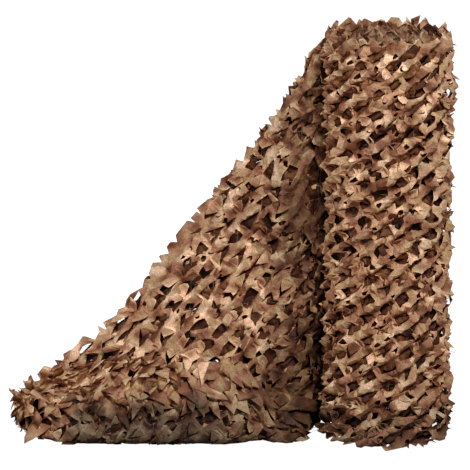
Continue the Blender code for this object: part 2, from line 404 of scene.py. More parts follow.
def cut_cloth(name, border, leaves, curls, style, step, rng, opening=None):
    """A flat cloth with its border and slits cut and its leaves curled out of it."""
    outlines = [border] + [leaf.outline for leaf in leaves]
    if opening is not None:
        outlines.append(opening)
    starts = np.cumsum([0] + [len(outline) for outline in outlines])
    rim = np.concatenate(outlines)
    low, high = border.min(axis=0), border.max(axis=0)
    # Loose points over the whole cloth, away from the cuts
    across, up = np.meshgrid(
        np.arange(low[0] + step / 2, high[0], step),
        np.arange(low[1] + step / 2, high[1], step * math.sqrt(3) / 2),
    )
    across[1::2] += step / 2
    across += rng.uniform(-STEP_JITTER, STEP_JITTER, across.shape) * step
    up += rng.uniform(-STEP_JITTER, STEP_JITTER, up.shape) * step
    tree = kdtree.KDTree(len(rim))
    for index, point in enumerate(rim):
        tree.insert((*point, 0), index)
    tree.balance()
    inner = [
        Vector(point)
        for point in zip(across.ravel(), up.ravel())
        if tree.find((*point, 0))[2] > step * CUT_CLEAR
    ]
    rings = [list(range(start, end)) for start, end in zip(starts, starts[1:])]
    points, _, faces, old_points, _, owners = geometry.delaunay_2d_cdt(
        [Vector(point) for point in rim] + inner, [], rings, 0, 1e-6, True
    )
    flat = np.array([tuple(point) for point in points])
    on_rim = np.array([any(index < len(rim) for index in olds) for olds in old_points], float)
    # Each leaf gets points of its own, except at its hinge, where it hangs on the cloth
    hinges = [{start, end - 1} for start, end in zip(starts, starts[1:])]
    copies, triangles = {}, []
    for face, owner in zip(faces, owners):
        if 0 not in owner or len(leaves) + 1 in owner:
            continue
        number = next((number for number in owner if number), 0)
        corners = []
        for corner in face:
            if number and not set(old_points[corner]) & hinges[number]:
                corner = copies.setdefault((number, corner), len(flat) + len(copies))
            corners.append(corner)
        triangles.append(corners)
    source = np.array([*range(len(flat)), *(corner for _, corner in copies)])
    places = np.column_stack([flat[source], np.zeros(len(source))])
    cloth_place = places.copy()
    tints = np.zeros(len(source))
    members = {}
    for (number, _), index in copies.items():
        members.setdefault(number, []).append(index)
    for number, own in members.items():
        places[own] = curled(leaves[number - 1], curls[number - 1], flat[source[own]], style)
        tints[own] = rng.uniform(-1, 1)
    # The bands between the rows of leaves bulge, and the edges of the holes curl in or out
    if leaves:
        away = (flat[source] - (low + high) / 2) @ (-math.sin(style.flow), math.cos(style.flow))
        band = FLOWS_APART * style.scale
        places[:, 2] -= style.bulge * np.cos(away * 2 * math.pi / band)
        hole_rim = np.flatnonzero(on_rim)
        places[hole_rim, 2] += rng.normal(0, RIM_CURL, len(hole_rim))
        # Crisp little planes: each inner point stands a little higher or lower than the next
        places[: len(flat), 2] += rng.normal(0, FACET_RELIEF, len(flat)) * (1 - on_rim)
    return marked_piece(
        name, places.tolist(), [], triangles,
        cloth_place=cloth_place, cut_rim=on_rim[source], leaf_tint=tints,
    )


def tipped_edge(path, rng, spacing=TIP_SPACING, height=TIP_HEIGHT):
    """A cut edge along a path, with uneven leaf ends standing out to its right."""
    path = np.array(path)
    along = distances(path)
    stops = [0.0]
    while stops[-1] < along[-1] - spacing * 0.7:
        stops.append(stops[-1] + spacing * rng.uniform(*TIP_STEPS))
    stops[-1] = along[-1]
    stops = np.array([np.interp(stops, along, column) for column in path.T]).T
    points = []
    for start, end in zip(stops, stops[1:]):
        span = end - start
        out = np.array([span[1], -span[0]]) / np.linalg.norm(span)
        rise = height * rng.uniform(*TIP_RISES)
        first, second = sorted(rng.uniform(*TIP_PLACES, 2))
        ends = rng.permutation([rise, rise * rng.uniform(*LOWER_TIPS)])
        points += [
            start,
            start + span * first + out * ends[0],
            start + span * (second + TIP_ENDS_APART) + out * ends[1],
        ]
    return points


def mark_points(mesh, **marks):
    """Gives the points of a mesh named values: numbers, or vectors of three parts."""
    for name, values in marks.items():
        values = np.asarray(values, float)
        kind, part = ("FLOAT_VECTOR", "vector") if values.ndim == 2 else ("FLOAT", "value")
        mesh.attributes.new(name, kind, "POINT").data.foreach_set(part, values.ravel())


def marked_piece(name, points, edges, faces, **marks):
    """A new object of the points, edges and faces given, its points marked."""
    mesh = bpy.data.meshes.new(name)
    mesh.from_pydata(points, edges, faces)
    mark_points(mesh, **marks)
    return in_scene(name, mesh)


def straight_edge(start, end):
    """A straight cut edge in short steps, so that it can follow a curve."""
    count = max(1, round(math.dist(start, end) / CLOTH_STEP))
    return list(np.linspace(start, end, count, endpoint=False))


def flat_cut(border, opening=None):
    """The cloth as it was cut: its width and length, and the area within its outline."""
    outlines = [border] if opening is None else [border, opening]
    areas = [
        abs(line[:, 0] @ np.roll(line[:, 1], -1) - line[:, 1] @ np.roll(line[:, 0], -1)) / 2
        for line in outlines
    ]
    return {"flat": tuple(np.ptp(border, axis=0)), "area": areas[0] - sum(areas[1:])}


def guide_surface(name, points, flat, outward):
    """A helper grid surface. It carries the flat cloth's own coordinates as a UV map."""
    columns, rows = points.shape[:2]
    index = np.arange(columns * rows).reshape(columns, rows)
    quads = np.stack(
        [index[:-1, :-1], index[1:, :-1], index[1:, 1:], index[:-1, 1:]], axis=-1
    ).reshape(-1, 4)
    guide = marked_piece(
        name, points.reshape(-1, 3).tolist(), [], quads.tolist(), outward=outward.reshape(-1, 3)
    )
    flat = flat.reshape(-1, 2)
    low = flat.min(axis=0)
    size = flat.max(axis=0) - low
    corners = np.empty(len(guide.data.loops), np.int32)
    guide.data.loops.foreach_get("vertex_index", corners)
    layer = guide.data.uv_layers.new(name="flat")
    layer.data.foreach_set("uv", ((flat - low) / size)[corners].ravel())
    return {
        "Guide": guide,
        "Guide Low": (float(low[0]), float(low[1]), 0.0),
        "Guide Size": (float(size[0]), float(size[1]), 1.0),
    }


def node(tree, kind, inputs=(), **settings):
    """A new node with its settings made, and its inputs linked or set. Returns its outputs."""
    made = tree.nodes.new(kind)
    for name, value in settings.items():
        setattr(made, name, value)
    for key, value in dict(inputs).items():
        if isinstance(value, bpy.types.NodeSocket):
            tree.links.new(value, made.inputs[key])
        else:
            made.inputs[key].default_value = value
    return made.outputs


def passed_on(tree, geometry, *steps):
    """Passes geometry through a row of nodes, each given by kind, other inputs and settings."""
    for kind, inputs, settings in steps:
        geometry = node(tree, "GeometryNode" + kind, {0: geometry, **inputs}, **settings)[0]
    return geometry


def maths(tree, kind="ShaderNodeMath"):
    """A function that adds maths nodes of one kind, their inputs in turn. It returns the output."""
    def worked_out(operation, *values):
        made = tree.nodes.new(kind)
        made.operation = operation
        for socket, value in zip([socket for socket in made.inputs if socket.enabled], values):
            if isinstance(value, bpy.types.NodeSocket):
                tree.links.new(value, socket)
            else:
                socket.default_value = value
        return made.outputs[0]
    return worked_out


def node_group(name, kind, inputs, outputs):
    """A node group with its named inputs and outputs. Returns it, what is given and the result."""
    tree = bpy.data.node_groups.new(name, kind)
    for way, sockets in (("INPUT", inputs), ("OUTPUT", outputs)):
        for socket_name, socket_kind in sockets:
            tree.interface.new_socket(
                socket_name, in_out=way, socket_type="NodeSocket" + socket_kind
            )
    return tree, node(tree, "NodeGroupInput"), tree.nodes.new("NodeGroupOutput").inputs


GEOMETRY = ("Geometry", "Geometry")
LAY_SOCKETS = (
    GEOMETRY, ("Guide", "Object"), ("Guide Low", "Vector"), ("Guide Size", "Vector"),
    ("Offset", "Float"), ("Swell", "Float"), ("Swell Length", "Float"), ("Crumple", "Float"),
    ("Crumple Length", "Float"), ("Drift", "Float"), ("Seed", "Float"), ("Lowest", "Float"),
    ("Material", "Material"),
)


def lay_cloth_tree():
    """Nodes that lay a flat cloth on a guide surface, with soft swells, never below the floor."""
    tree, given, result = node_group(
        "lay_cloth_on_guide", "GeometryNodeTree", LAY_SOCKETS, (GEOMETRY,)
    )
    vector, number = maths(tree, "ShaderNodeVectorMath"), maths(tree)
    place = node(tree, "GeometryNodeInputPosition")[0]
    flat_place = vector("MULTIPLY", place, (1, 1, 0))
    # Swells: a smooth noise over the flat cloth, its blue part for height and the rest for drift
    swell = node(tree, "ShaderNodeTexNoise", {
        "Vector": flat_place, "W": given["Seed"], "Detail": 2.0, "Roughness": 0.5,
        "Scale": number("DIVIDE", 1.0, given["Swell Length"]),
    }, noise_dimensions="4D")
    centred = vector("SUBTRACT", swell["Color"], (0.5, 0.5, 0.5))
    drift = vector("SCALE", vector("MULTIPLY", centred, (1, 1, 0)), given["Drift"])
    shifted = vector("SUBTRACT", vector("ADD", place, drift), given["Guide Low"])
    share = vector("DIVIDE", shifted, given["Guide Size"])

    # The guide's place and outward direction at the same spot
    guide = node(tree, "GeometryNodeObjectInfo", {"Object": given["Guide"]})["Geometry"]
    position, outward, flat = (
        node(tree, "GeometryNodeInputNamedAttribute", {"Name": name}, data_type="FLOAT_VECTOR")[0]
        for name in ("position", "outward", "flat")
    )
    spot, away = (
        node(tree, "GeometryNodeSampleUVSurface", {0: guide, 1: value, 2: flat, 3: share},
             data_type="FLOAT_VECTOR")
        for value in (position, outward)
    )
    crumple = node(tree, "ShaderNodeTexVoronoi", {
        "Vector": flat_place, "Scale": number("DIVIDE", 1.0, given["Crumple Length"]),
    })
    folds = number("SUBTRACT", 0.5, crumple["Distance"])
    rise = number(
        "MULTIPLY_ADD", node(tree, "ShaderNodeSeparateXYZ", {0: centred})["Z"], given["Swell"],
        node(tree, "ShaderNodeSeparateXYZ", {0: place})["Z"],
    )
    rise = number("ADD", rise, number("MULTIPLY", folds, given["Crumple"]))
    raised = vector("SCALE", away[0], number("ADD", rise, given["Offset"]))
    laid = node(tree, "ShaderNodeSeparateXYZ", {0: vector("ADD", spot[0], raised)})
    kept = node(tree, "ShaderNodeCombineXYZ", {
        "X": laid["X"], "Y": laid["Y"], "Z": number("MAXIMUM", laid["Z"], given["Lowest"]),
    })

    # Points that miss the guide go; the rest move to it
    missed = node(tree, "FunctionNodeBooleanMath", {0: spot[1]}, operation="NOT")[0]
    mark = tree.nodes.new("GeometryNodeCaptureAttribute")
    mark.capture_items.new("BOOLEAN", "Missed")
    tree.links.new(given["Geometry"], mark.inputs["Geometry"])
    tree.links.new(missed, mark.inputs["Missed"])
    angle = node(tree, "GeometryNodeInputMeshEdgeAngle")[0]
    crease = number("GREATER_THAN", angle, CREASE_ANGLE)
    tree.links.new(passed_on(
        tree, mark.outputs["Geometry"],
        ("SetPosition", {"Position": kept[0]}, {}),
        ("DeleteGeometry", {"Selection": mark.outputs["Missed"]}, {}),
        ("SetShadeSmooth", {}, {}),
        ("SetShadeSmooth", {"Selection": crease, "Shade Smooth": False}, {"domain": "EDGE"}),
        ("RealizeInstances", {}, {}),
        ("SetMaterial", {"Material": given["Material"]}, {}),
    ), result[0])
    return tree


LAY_CLOTH = lay_cloth_tree()


def add_nodes(piece, tree, values):
    """Puts a node tree on a piece, with its inputs set by their identifiers."""
    modifier = piece.modifiers.new(tree.name, "NODES")
    modifier.node_group = tree
    for item in tree.interface.items_tree:
        if item.in_out == "INPUT" and item.name in values:
            modifier[item.identifier] = values[item.name]


def made_plain(piece):
    """Turns what a piece's modifiers make into its own mesh."""
    graph = bpy.context.evaluated_depsgraph_get()
    mesh = bpy.data.meshes.new_from_object(piece.evaluated_get(graph))
    mesh.name = piece.name
    piece.modifiers.clear()
    piece.data = mesh


def lay_cloth(cloth, guide, material, seed, settings):
    """Lays the cloth on its guide as a plain mesh, and gives it its thickness."""
    add_nodes(cloth, LAY_CLOTH, {
        **guide, "Lowest": LOWEST, "Material": material, "Seed": float(seed), **settings,
    })
    made_plain(cloth)
    shell = cloth.modifiers.new("thickness", "SOLIDIFY")
    shell.thickness = CLOTH_THICKNESS
    shell.offset = 0


# The weave: fine noise drawn out along each set of threads, and the lumps of thicker thread
THREADS_PER_METRE = 360
THREAD_STRETCH = 0.16
SLUBS_PER_METRE = 230


def woven_grain_group():
    """Grain of a plain weave on a cloth's flat place: thread speckle for colour and for height."""
    tree, given, result = node_group(
        "woven_grain", "ShaderNodeTree", (("Place", "Vector"),),
        (("Speckle", "Float"), ("Height", "Float")),
    )
    vector, number = maths(tree, "ShaderNodeVectorMath"), maths(tree)
    threads = [
        node(tree, "ShaderNodeTexNoise", {
            "Vector": vector("MULTIPLY", given["Place"], stretch), "Scale": THREADS_PER_METRE,
            "Detail": 2.0,
        })["Fac"]
        for stretch in ((1.0, THREAD_STRETCH, 1.0), (THREAD_STRETCH, 1.0, 1.0))
    ]
    both = number("ADD", *threads)
    coarse = node(tree, "ShaderNodeTexNoise", {
        "Vector": given["Place"], "Scale": SLUBS_PER_METRE, "Detail": 2.0, "Roughness": 0.6,
    })["Fac"]
    speckle = number("MULTIPLY_ADD", coarse, 0.36, number("MULTIPLY", both, 0.32))
    tree.links.new(number("MULTIPLY", both, 0.5), result["Height"])
    tree.links.new(speckle, result["Speckle"])
    return tree


WOVEN_GRAIN = woven_grain_group()
# Patch colours of the print, each from the noise value where it is pure
PRINT_COLOURS = (
    (0.32, (0.125, 0.040, 0.016)),
    (0.42, (0.265, 0.106, 0.053)),
    (0.49, (0.430, 0.190, 0.108)),
    (0.55, (0.405, 0.214, 0.098)),
    (0.66, (0.710, 0.428, 0.250)),
)
PATCHES_PER_METRE = 15
PATCH_CONTRAST, PATCH_MIDDLE = 0.86, 0.505
# Leaves differ in tone at random, and small planes in painted shading; this moves the print and lightens or darkens it
PLANES_PER_METRE = 22
PLANE_TONES = 1.6
TONE_MOVES_PRINT, TONE_LIGHTENS = 0.120, 0.30
SPECKLE_SCALE, SPECKLE_FROM = 4.2, -1.1
RIM_LIGHTENS = 0.6
# Painted shade: how bright the cloth stays at the floor
PAINTED_FLOOR_SHADE = 0.38
CLOTH_ROUGHNESS, CLOTH_SHINE = 0.70, 0.25
BUMP_STRENGTH, BUMP_DEPTH = 0.5, 0.001
# Painted shade: the colour toward which the heap's front under the crest is darkened
UNDER_CREST_SHADE_COLOUR = (0.172, 0.190, 0.194, 1)
# Painted shade: the colour toward which the fold beside the roll is darkened
FOLD_SHADE_COLOUR = (0.17, 0.145, 0.115, 1)


def new_material(name):
    """A new material with its node tree and its main shader."""
    material = bpy.data.materials.new(name)
    material.use_nodes = True
    tree = material.node_tree
    return material, tree, tree.nodes["Principled BSDF"]


def camo_cloth(name, shade, seed, crest_and_fold_shade=False, floor_shade_height=0.34, shade_colour=None):
    """Printed woven polyester: soft patches of tan, pink brown, olive tan and dark brown. On the loose length, painted
    shade darkens it under the heap's crest and in the fold beside the roll."""
    material, tree, shader = new_material(name)
    number = maths(tree)

    def mark(name):
        return node(tree, "ShaderNodeAttribute", attribute_name=name)

    def tinted(colour, amount, shade_colour):
        return node(tree, "ShaderNodeMix", {"Factor": amount, "A": colour, "B": shade_colour},
                    data_type="RGBA", blend_type="MULTIPLY")["Result"]

    place = mark("cloth_place")["Vector"]
    tint, rim = mark("leaf_tint")["Fac"], mark("cut_rim")["Fac"]
    patches = node(tree, "ShaderNodeTexNoise", {
        "Vector": place, "W": seed, "Scale": PATCHES_PER_METRE, "Detail": 1.0, "Roughness": 0.5,
    }, noise_dimensions="4D")["Fac"]
    # Between the leaves the cloth is wrinkled into small planes; here each small cell gets its own tone, painted
    # shading as if each plane faced the light its own way
    planes = node(tree, "ShaderNodeTexVoronoi", {"Vector": place, "Scale": PLANES_PER_METRE})
    plane_tone = node(tree, "ShaderNodeSeparateColor", {0: planes["Color"]})[0]
    between = number("LESS_THAN", number("ABSOLUTE", tint), 0.001)
    plane_tint = number("MULTIPLY", number("SUBTRACT", plane_tone, 0.5), PLANE_TONES)
    tone = number("MULTIPLY_ADD", plane_tint, between, tint)
    shifted = number("MULTIPLY_ADD", tone, TONE_MOVES_PRINT, patches)
    ramp = tree.nodes.new("ShaderNodeValToRGB")
    elements = ramp.color_ramp.elements
    elements[0].position, elements[0].color = PRINT_COLOURS[0][0], (*PRINT_COLOURS[0][1], 1)
    elements[1].position, elements[1].color = PRINT_COLOURS[-1][0], (*PRINT_COLOURS[-1][1], 1)
    for position, colour in PRINT_COLOURS[1:-1]:
        elements.new(position).color = (*colour, 1)
    centred = number("SUBTRACT", shifted, 0.5)
    steep = number("MULTIPLY_ADD", centred, PATCH_CONTRAST, PATCH_MIDDLE)
    tree.links.new(steep, ramp.inputs["Fac"])
    grain = node(tree, "ShaderNodeGroup", node_tree=WOVEN_GRAIN)
    tree.links.new(place, grain["Speckle"].node.inputs["Place"])
    # Leaf by leaf, thread by thread and lighter along the cut edges: partly paler frayed edges, partly a painted
    # highlight where they catch the light
    leaf = number("MULTIPLY_ADD", tone, TONE_LIGHTENS, 1.0)
    speckle = number("MULTIPLY_ADD", grain["Speckle"], SPECKLE_SCALE, SPECKLE_FROM)
    edge = number("MULTIPLY_ADD", number("POWER", rim, 4.0), RIM_LIGHTENS, 1.0)
    # Painted shade: darker toward the floor, where it stands on the ground
    inside = node(tree, "ShaderNodeTexCoord")["Object"]
    near_floor_shade = node(tree, "ShaderNodeMapRange", {
        "Value": node(tree, "ShaderNodeSeparateXYZ", {0: inside})["Z"],
        "From Max": floor_shade_height, "To Min": PAINTED_FLOOR_SHADE,
    }, interpolation_type="SMOOTHSTEP")[0]
    # Shade darkens a whole copy of the cloth: painted shade for the turns and plies that less light reaches
    edge = number("MULTIPLY", number("MULTIPLY", edge, near_floor_shade), shade)
    strength = number("MULTIPLY", number("MULTIPLY", leaf, speckle), edge)
    colour = ramp.outputs["Color"]
    if shade_colour:
        colour = tinted(colour, 1.0, shade_colour)
    if crest_and_fold_shade:
        # Painted shade: darker and olive under the heap's crest
        colour = tinted(colour, mark("turned_over")["Fac"], UNDER_CREST_SHADE_COLOUR)
        # Painted shade: darker still in the fold beside the roll
        colour = tinted(colour, mark("deep_fold")["Fac"], FOLD_SHADE_COLOUR)
    brighten = maths(tree, "ShaderNodeVectorMath")("SCALE", colour, strength)
    bump = node(tree, "ShaderNodeBump", {
        "Strength": BUMP_STRENGTH, "Distance": BUMP_DEPTH, "Height": grain["Height"],
    })[0]
    tree.links.new(brighten, shader.inputs["Base Color"])
    tree.links.new(bump, shader.inputs["Normal"])
    shader.inputs["Roughness"].default_value = CLOTH_ROUGHNESS
    shader.inputs["Specular IOR Level"].default_value = CLOTH_SHINE
    return material


# How far the roll swells at some heights, and how finely its guides follow it round and up
ROLL_SWELLS = (
    (0.0, 0.002), (0.03, 0.012), (0.30, 0.008), (0.75, 0.002), (1.0, 0.002), (1.2, 0.005),
    (1.42, 0.005), (1.5, 0.0),
)
GUIDE_STEPS_PER_TURN, GUIDE_ROWS = 120, 41
FLOOR_CLEAR = 0.002
END_CLEAR = 0.004


def wound_guide(name, start_angle, turns, start_radius, end_radius, low, high):
    """A guide that winds about the roll's axis, its radius changing steadily."""
    columns = round(abs(turns) * GUIDE_STEPS_PER_TURN) + 1
    angles = start_angle + np.linspace(0, turns * 2 * math.pi, columns)
    radii = np.linspace(start_radius, end_radius, columns)
    heights = np.linspace(low, high, GUIDE_ROWS)
    swells = read_off(ROLL_SWELLS, heights)
    steps = np.hypot(np.diff(radii), np.diff(angles) * (radii[1:] + radii[:-1]) / 2)
    along = np.concatenate([[0], np.cumsum(steps)])
    outward = np.zeros((columns, len(heights), 3))
    outward[..., 0] = np.cos(angles)[:, None]
    outward[..., 1] = np.sin(angles)[:, None]
    # What reaches below the floor lies on it instead, pointing away from the roll
    splay = np.maximum(FLOOR_CLEAR - heights, 0)
    points = outward * (radii[:, None] + swells + splay)[..., None]
    points[..., 2] = np.maximum(heights, FLOOR_CLEAR)
    flat = np.stack(np.broadcast_arrays(along[:, None], heights), axis=-1)
    return guide_surface(name, points, flat, outward), along[-1]


def wound_cloth(name, guide, length, low, high, seed, material, settings, leafy=None,
                step=CLOTH_STEP, tipped_low=False, tip_height=TIP_HEIGHT, tip_spacing=TIP_SPACING):
    """A strip of cloth wound on a guide, its upper edge in tips, and slit if leafy is given."""
    rng = np.random.default_rng(seed)
    start, end = END_CLEAR, length - END_CLEAR
    upper = tipped_edge([(end, high), (start, high)], rng, tip_spacing, tip_height)
    lower_path = (start, low), (end, low)
    lower = tipped_edge(lower_path, rng) if tipped_low else straight_edge(*lower_path)
    border = np.array(
        lower + straight_edge((end, low), (end, high)) + upper
        + straight_edge((start, high), (start, low))
    )
    leaves, curls = [], []
    if leafy:
        leaves = cut_leaves(border, leafy, rng)
        curls = leaf_curls(len(leaves), leafy, rng)
    cloth = cut_cloth(name, border, leaves, curls, leafy, step, rng)
    lay_cloth(cloth, guide, material, seed, settings)
    return cloth, flat_cut(border)


# It winds a little more than once round, and its guide runs on below and above it
OVERLAP_ANGLE = 0.1
GUIDE_OVERHANG = 0.06
printed_cloth = camo_cloth("printed_cloth", 1.0, 2.0)
outer_guide, outer_length = wound_guide(
    "outer_guide", LEAVING_ANGLE - 2 * math.pi - OVERLAP_ANGLE, 1 + OVERLAP_ANGLE / (2 * math.pi),
    OUTER_RADIUS - TURN_STEP, OUTER_RADIUS, -GUIDE_OVERHANG, ROLL_HEIGHT + GUIDE_OVERHANG,
)
roll_outer, outer_cut = wound_cloth(
    "roll_outer_turn", outer_guide, outer_length, 0.004, ROLL_HEIGHT, 4, printed_cloth,
    {"Swell": 0.07, "Swell Length": 0.085, "Crumple": 0.008, "Crumple Length": 0.040,
     "Drift": 0.03},
    leafy=LeafStyle(
        ROLL_FLOW, ROLL_SHARES, bend=0.85, folded=0.58, turned=0.12, hinge=0.22, curl=0.3,
        twist=0.5, scale=1.06, slim=0.92, apart=1.06, tucked=0.72, shrink=0.78, bulge=0.016,
        tallest=0.034,
    ),
    tipped_low=True, tip_height=0.027,
)


# Carrier net of the outer turn
# A square-meshed net of thin pale twine, knotted where it crosses, that the cloth is tied to.
# It lies just inside the cloth and shows in the holes.
TWINE_MESH = 0.088
TWINE_STEP = 0.016
TWINE_RADIUS, KNOT_RADIUS = 0.0008, 0.0024
TWINE_SIDES = 5
TWINE_COLOUR = (0.19, 0.125, 0.08, 1)
TWINE_DARKER = 0.45
TWINE_FIBRES_PER_METRE = 600
TWINE_SOCKETS = (
    GEOMETRY, ("Radius", "Float"), ("Knot Radius", "Float"), ("Material", "Material"),
)


def twine_tree():
    """Nodes that turn a mesh of lines into round twine, with a knot at each marked point."""
    tree, given, result = node_group(
        "knotted_twine", "GeometryNodeTree", TWINE_SOCKETS, (GEOMETRY,)
    )
    tube = node(tree, "GeometryNodeCurveToMesh", {
        "Curve": node(tree, "GeometryNodeMeshToCurve", {"Mesh": given["Geometry"]})[0],
        "Profile Curve": node(tree, "GeometryNodeCurvePrimitiveCircle", {
            "Resolution": TWINE_SIDES, "Radius": given["Radius"],
        })[0],
        "Fill Caps": True,
    })[0]
    marked = node(tree, "GeometryNodeInputNamedAttribute", {"Name": "knot"}, data_type="BOOLEAN")
    knots = node(tree, "GeometryNodeInstanceOnPoints", {
        "Points": node(tree, "GeometryNodeMeshToPoints", {
            "Mesh": given["Geometry"], "Selection": marked[0],
        })[0],
        "Instance": node(tree, "GeometryNodeMeshIcoSphere", {"Radius": given["Knot Radius"]})[0],
    })[0]
    both = tree.nodes.new("GeometryNodeJoinGeometry")
    for part in (tube, knots):
        tree.links.new(part, both.inputs[0])
    tree.links.new(passed_on(
        tree, both.outputs[0],
        ("RealizeInstances", {}, {}),
        ("SetShadeSmooth", {}, {}),
        ("SetMaterial", {"Material": given["Material"]}, {}),
    ), result[0])
    return tree


KNOTTED_TWINE = twine_tree()
twine_material, twine_nodes, twine_shader = new_material("pale_twine")
twine_fibres = node(twine_nodes, "ShaderNodeTexNoise", {
    "Vector": node(twine_nodes, "ShaderNodeTexCoord")["Object"], "Scale": TWINE_FIBRES_PER_METRE,
})["Fac"]
twine_ramp = node(twine_nodes, "ShaderNodeValToRGB", {"Fac": twine_fibres})["Color"]
twine_colours = twine_ramp.node.color_ramp.elements
twine_colours[0].color = tuple(TWINE_DARKER * part for part in TWINE_COLOUR[:3]) + (1,)
twine_colours[1].color = TWINE_COLOUR
twine_colours[1].position = 0.6
twine_nodes.links.new(twine_ramp, twine_shader.inputs["Base Color"])
twine_shader.inputs["Roughness"].default_value = 0.8


def carrier_net(name, guide, low, high, inside, settings):
    """A net of twine between two flat corners, kept where inside() says, laid on a guide."""
    points, edges, knots = [], [], []
    crossings = [np.arange(low[axis] + TWINE_MESH / 2, high[axis], TWINE_MESH) for axis in (0, 1)]
    for axis in (0, 1):
        count = round((high[axis] - low[axis]) / TWINE_STEP)
        even = np.linspace(low[axis], high[axis], count)
        run = np.sort(np.concatenate([even, crossings[axis]]))
        for place in crossings[1 - axis]:
            before = None
            for step in run:
                point = (step, place) if axis == 0 else (place, step)
                if not inside(point):
                    before = None
                    continue
                points.append((*point, 0.0))
                knots.append(axis == 0 and step in crossings[0])
                if before is not None:
                    edges.append((before, len(points) - 1))
                before = len(points) - 1
    net = marked_piece(name, points, edges, [])
    net.data.attributes.new("knot", "BOOLEAN", "POINT").data.foreach_set("value", knots)
    add_nodes(net, LAY_CLOTH, {**guide, "Lowest": LOWEST, "Material": twine_material, **settings})
    add_nodes(net, KNOTTED_TWINE, {
        "Radius": TWINE_RADIUS, "Knot Radius": KNOT_RADIUS, "Material": twine_material,
    })
    made_plain(net)
    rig.ride(net, "root")
    return net


roll_twine = carrier_net(
    "roll_twine", outer_guide, (0.01, 0.02), (outer_length - 0.01, ROLL_HEIGHT - 0.01),
    lambda point: True, {"Swell": 0.04, "Swell Length": 0.085, "Offset": -0.020, "Seed": 4.0},
)
bpy.data.objects.remove(outer_guide["Guide"])
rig.replaces(roll_twine, "net_roll")
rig.ride(roll_outer, "root")
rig.replaces(roll_outer, "net_roll")
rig.slot(roll_outer, "leaf_cut_cloth")
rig.sheet(roll_outer, **outer_cut, held="gathered", with_pieces=[roll_twine])


# Second turn of the roll
# The same cloth one turn further in, seen through the holes of the outer turn. Less light reaches it, and its colour
# is painted darker and browner as painted shade. Its leaves lie nearly flat.
# Painted shade: the darker, browner tint of cloth deep in the roll and between the plies
INNER_SHADE_TINT = (0.50, 0.31, 0.20, 1)
SECOND_START_STEP, SECOND_END_STEP = 0.029, 0.018
second_cloth = camo_cloth("second_cloth", 0.36, 5.0, shade_colour=INNER_SHADE_TINT)
second_guide, second_length = wound_guide(
    "second_guide", LEAVING_ANGLE - 2 * math.pi, 1, OUTER_RADIUS - SECOND_START_STEP,
    OUTER_RADIUS - SECOND_END_STEP, -GUIDE_OVERHANG, ROLL_HEIGHT + GUIDE_OVERHANG,
)
roll_second, second_cut = wound_cloth(
    "roll_second_turn", second_guide, second_length, 0.004, ROLL_HEIGHT - 0.010, 9, second_cloth,
    {"Swell": 0.05, "Swell Length": 0.09, "Crumple": 0.02, "Crumple Length": 0.035, "Drift": 0.03},
    leafy=LeafStyle(
        ROLL_FLOW, ROLL_SHARES, bend=0.25, folded=0.02, turned=0.5, hinge=0.3, curl=0.4,
        twist=0.4, scale=1.0,
    ),
    step=0.019,
)
bpy.data.objects.remove(second_guide["Guide"])
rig.ride(roll_second, "root")
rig.replaces(roll_second, "net_roll")
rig.slot(roll_second, "leaf_cut_cloth")
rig.sheet(roll_second, **second_cut, held="gathered")


# Inner turns of the roll
# The rest of the net, wound close. Only its edges show, so below them it is left unslit, and
# its upper edge is a strip of its own, slit and cut in taller tips.
TURN_PITCH = 0.034
EYE_RADIUS = 0.030
CORE_RADIUS = 0.186
CORE_TURNS = (CORE_RADIUS - EYE_RADIUS) / TURN_PITCH
# The angles where the unslit part and the strip start, and how far below the roll's height they
# reach: the top of the one, and the guide, the lower and the upper edge of the other
CORE_START, END_START = 0.4, 0.9
CORE_TOP_BELOW = 0.090
END_GUIDE_BELOW, END_LOW_BELOW, END_HIGH_BELOW = 0.20, 0.135, 0.020

# Painted shade: this copy of the cloth is painted darker and browner
shaded_cloth = camo_cloth("shaded_cloth", 0.45, 7.0, shade_colour=INNER_SHADE_TINT)
core_guide, core_length = wound_guide(
    "core_guide", CORE_START, CORE_TURNS, CORE_RADIUS, EYE_RADIUS, -0.03, ROLL_HEIGHT
)
roll_core, core_cut = wound_cloth(
    "roll_inner_turns", core_guide, core_length, 0.010, ROLL_HEIGHT - CORE_TOP_BELOW, 12,
    shaded_cloth,
    {"Swell": 0.02, "Swell Length": 0.12, "Drift": 0.0}, step=0.024,
)
bpy.data.objects.remove(core_guide["Guide"])
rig.ride(roll_core, "root")
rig.replaces(roll_core, "net_roll")
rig.slot(roll_core, "leaf_cut_cloth")
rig.sheet(roll_core, **core_cut, held="gathered")

end_guide, end_length = wound_guide(
    "end_guide", END_START, CORE_TURNS, CORE_RADIUS, EYE_RADIUS, ROLL_HEIGHT - END_GUIDE_BELOW,
    ROLL_HEIGHT + GUIDE_OVERHANG,
)
# Painted shade: the top end's cloth is painted at half brightness, for the hollow top of the roll
roll_end, end_cut = wound_cloth(
    "roll_top_end", end_guide, end_length, ROLL_HEIGHT - END_LOW_BELOW,
    ROLL_HEIGHT - END_HIGH_BELOW, 15, camo_cloth("end_cloth", 0.50, 2.0),
    {"Swell": 0.02, "Swell Length": 0.10, "Drift": 0.02},
    leafy=LeafStyle(
        ROLL_FLOW, ROLL_SHARES, bend=0.7, folded=0.1, turned=0.35, hinge=0.3, curl=0.8,
        twist=0.5, scale=1.0,
    ),
    tip_height=0.032, tip_spacing=0.055,
)
bpy.data.objects.remove(end_guide["Guide"])
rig.ride(roll_end, "root")
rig.replaces(roll_end, "net_roll")
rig.slot(roll_end, "leaf_cut_cloth")
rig.sheet(roll_end, **end_cut, held="gathered")


# Loose length, front ply
# The last length of the net. It comes off the back of the roll, slopes down and slumps on the
# floor, where its lower part is tucked under itself.
START_RADIUS = 0.2278
START_X = START_RADIUS * math.cos(LEAVING_ANGLE)
START_Y = START_RADIUS * math.sin(LEAVING_ANGLE)
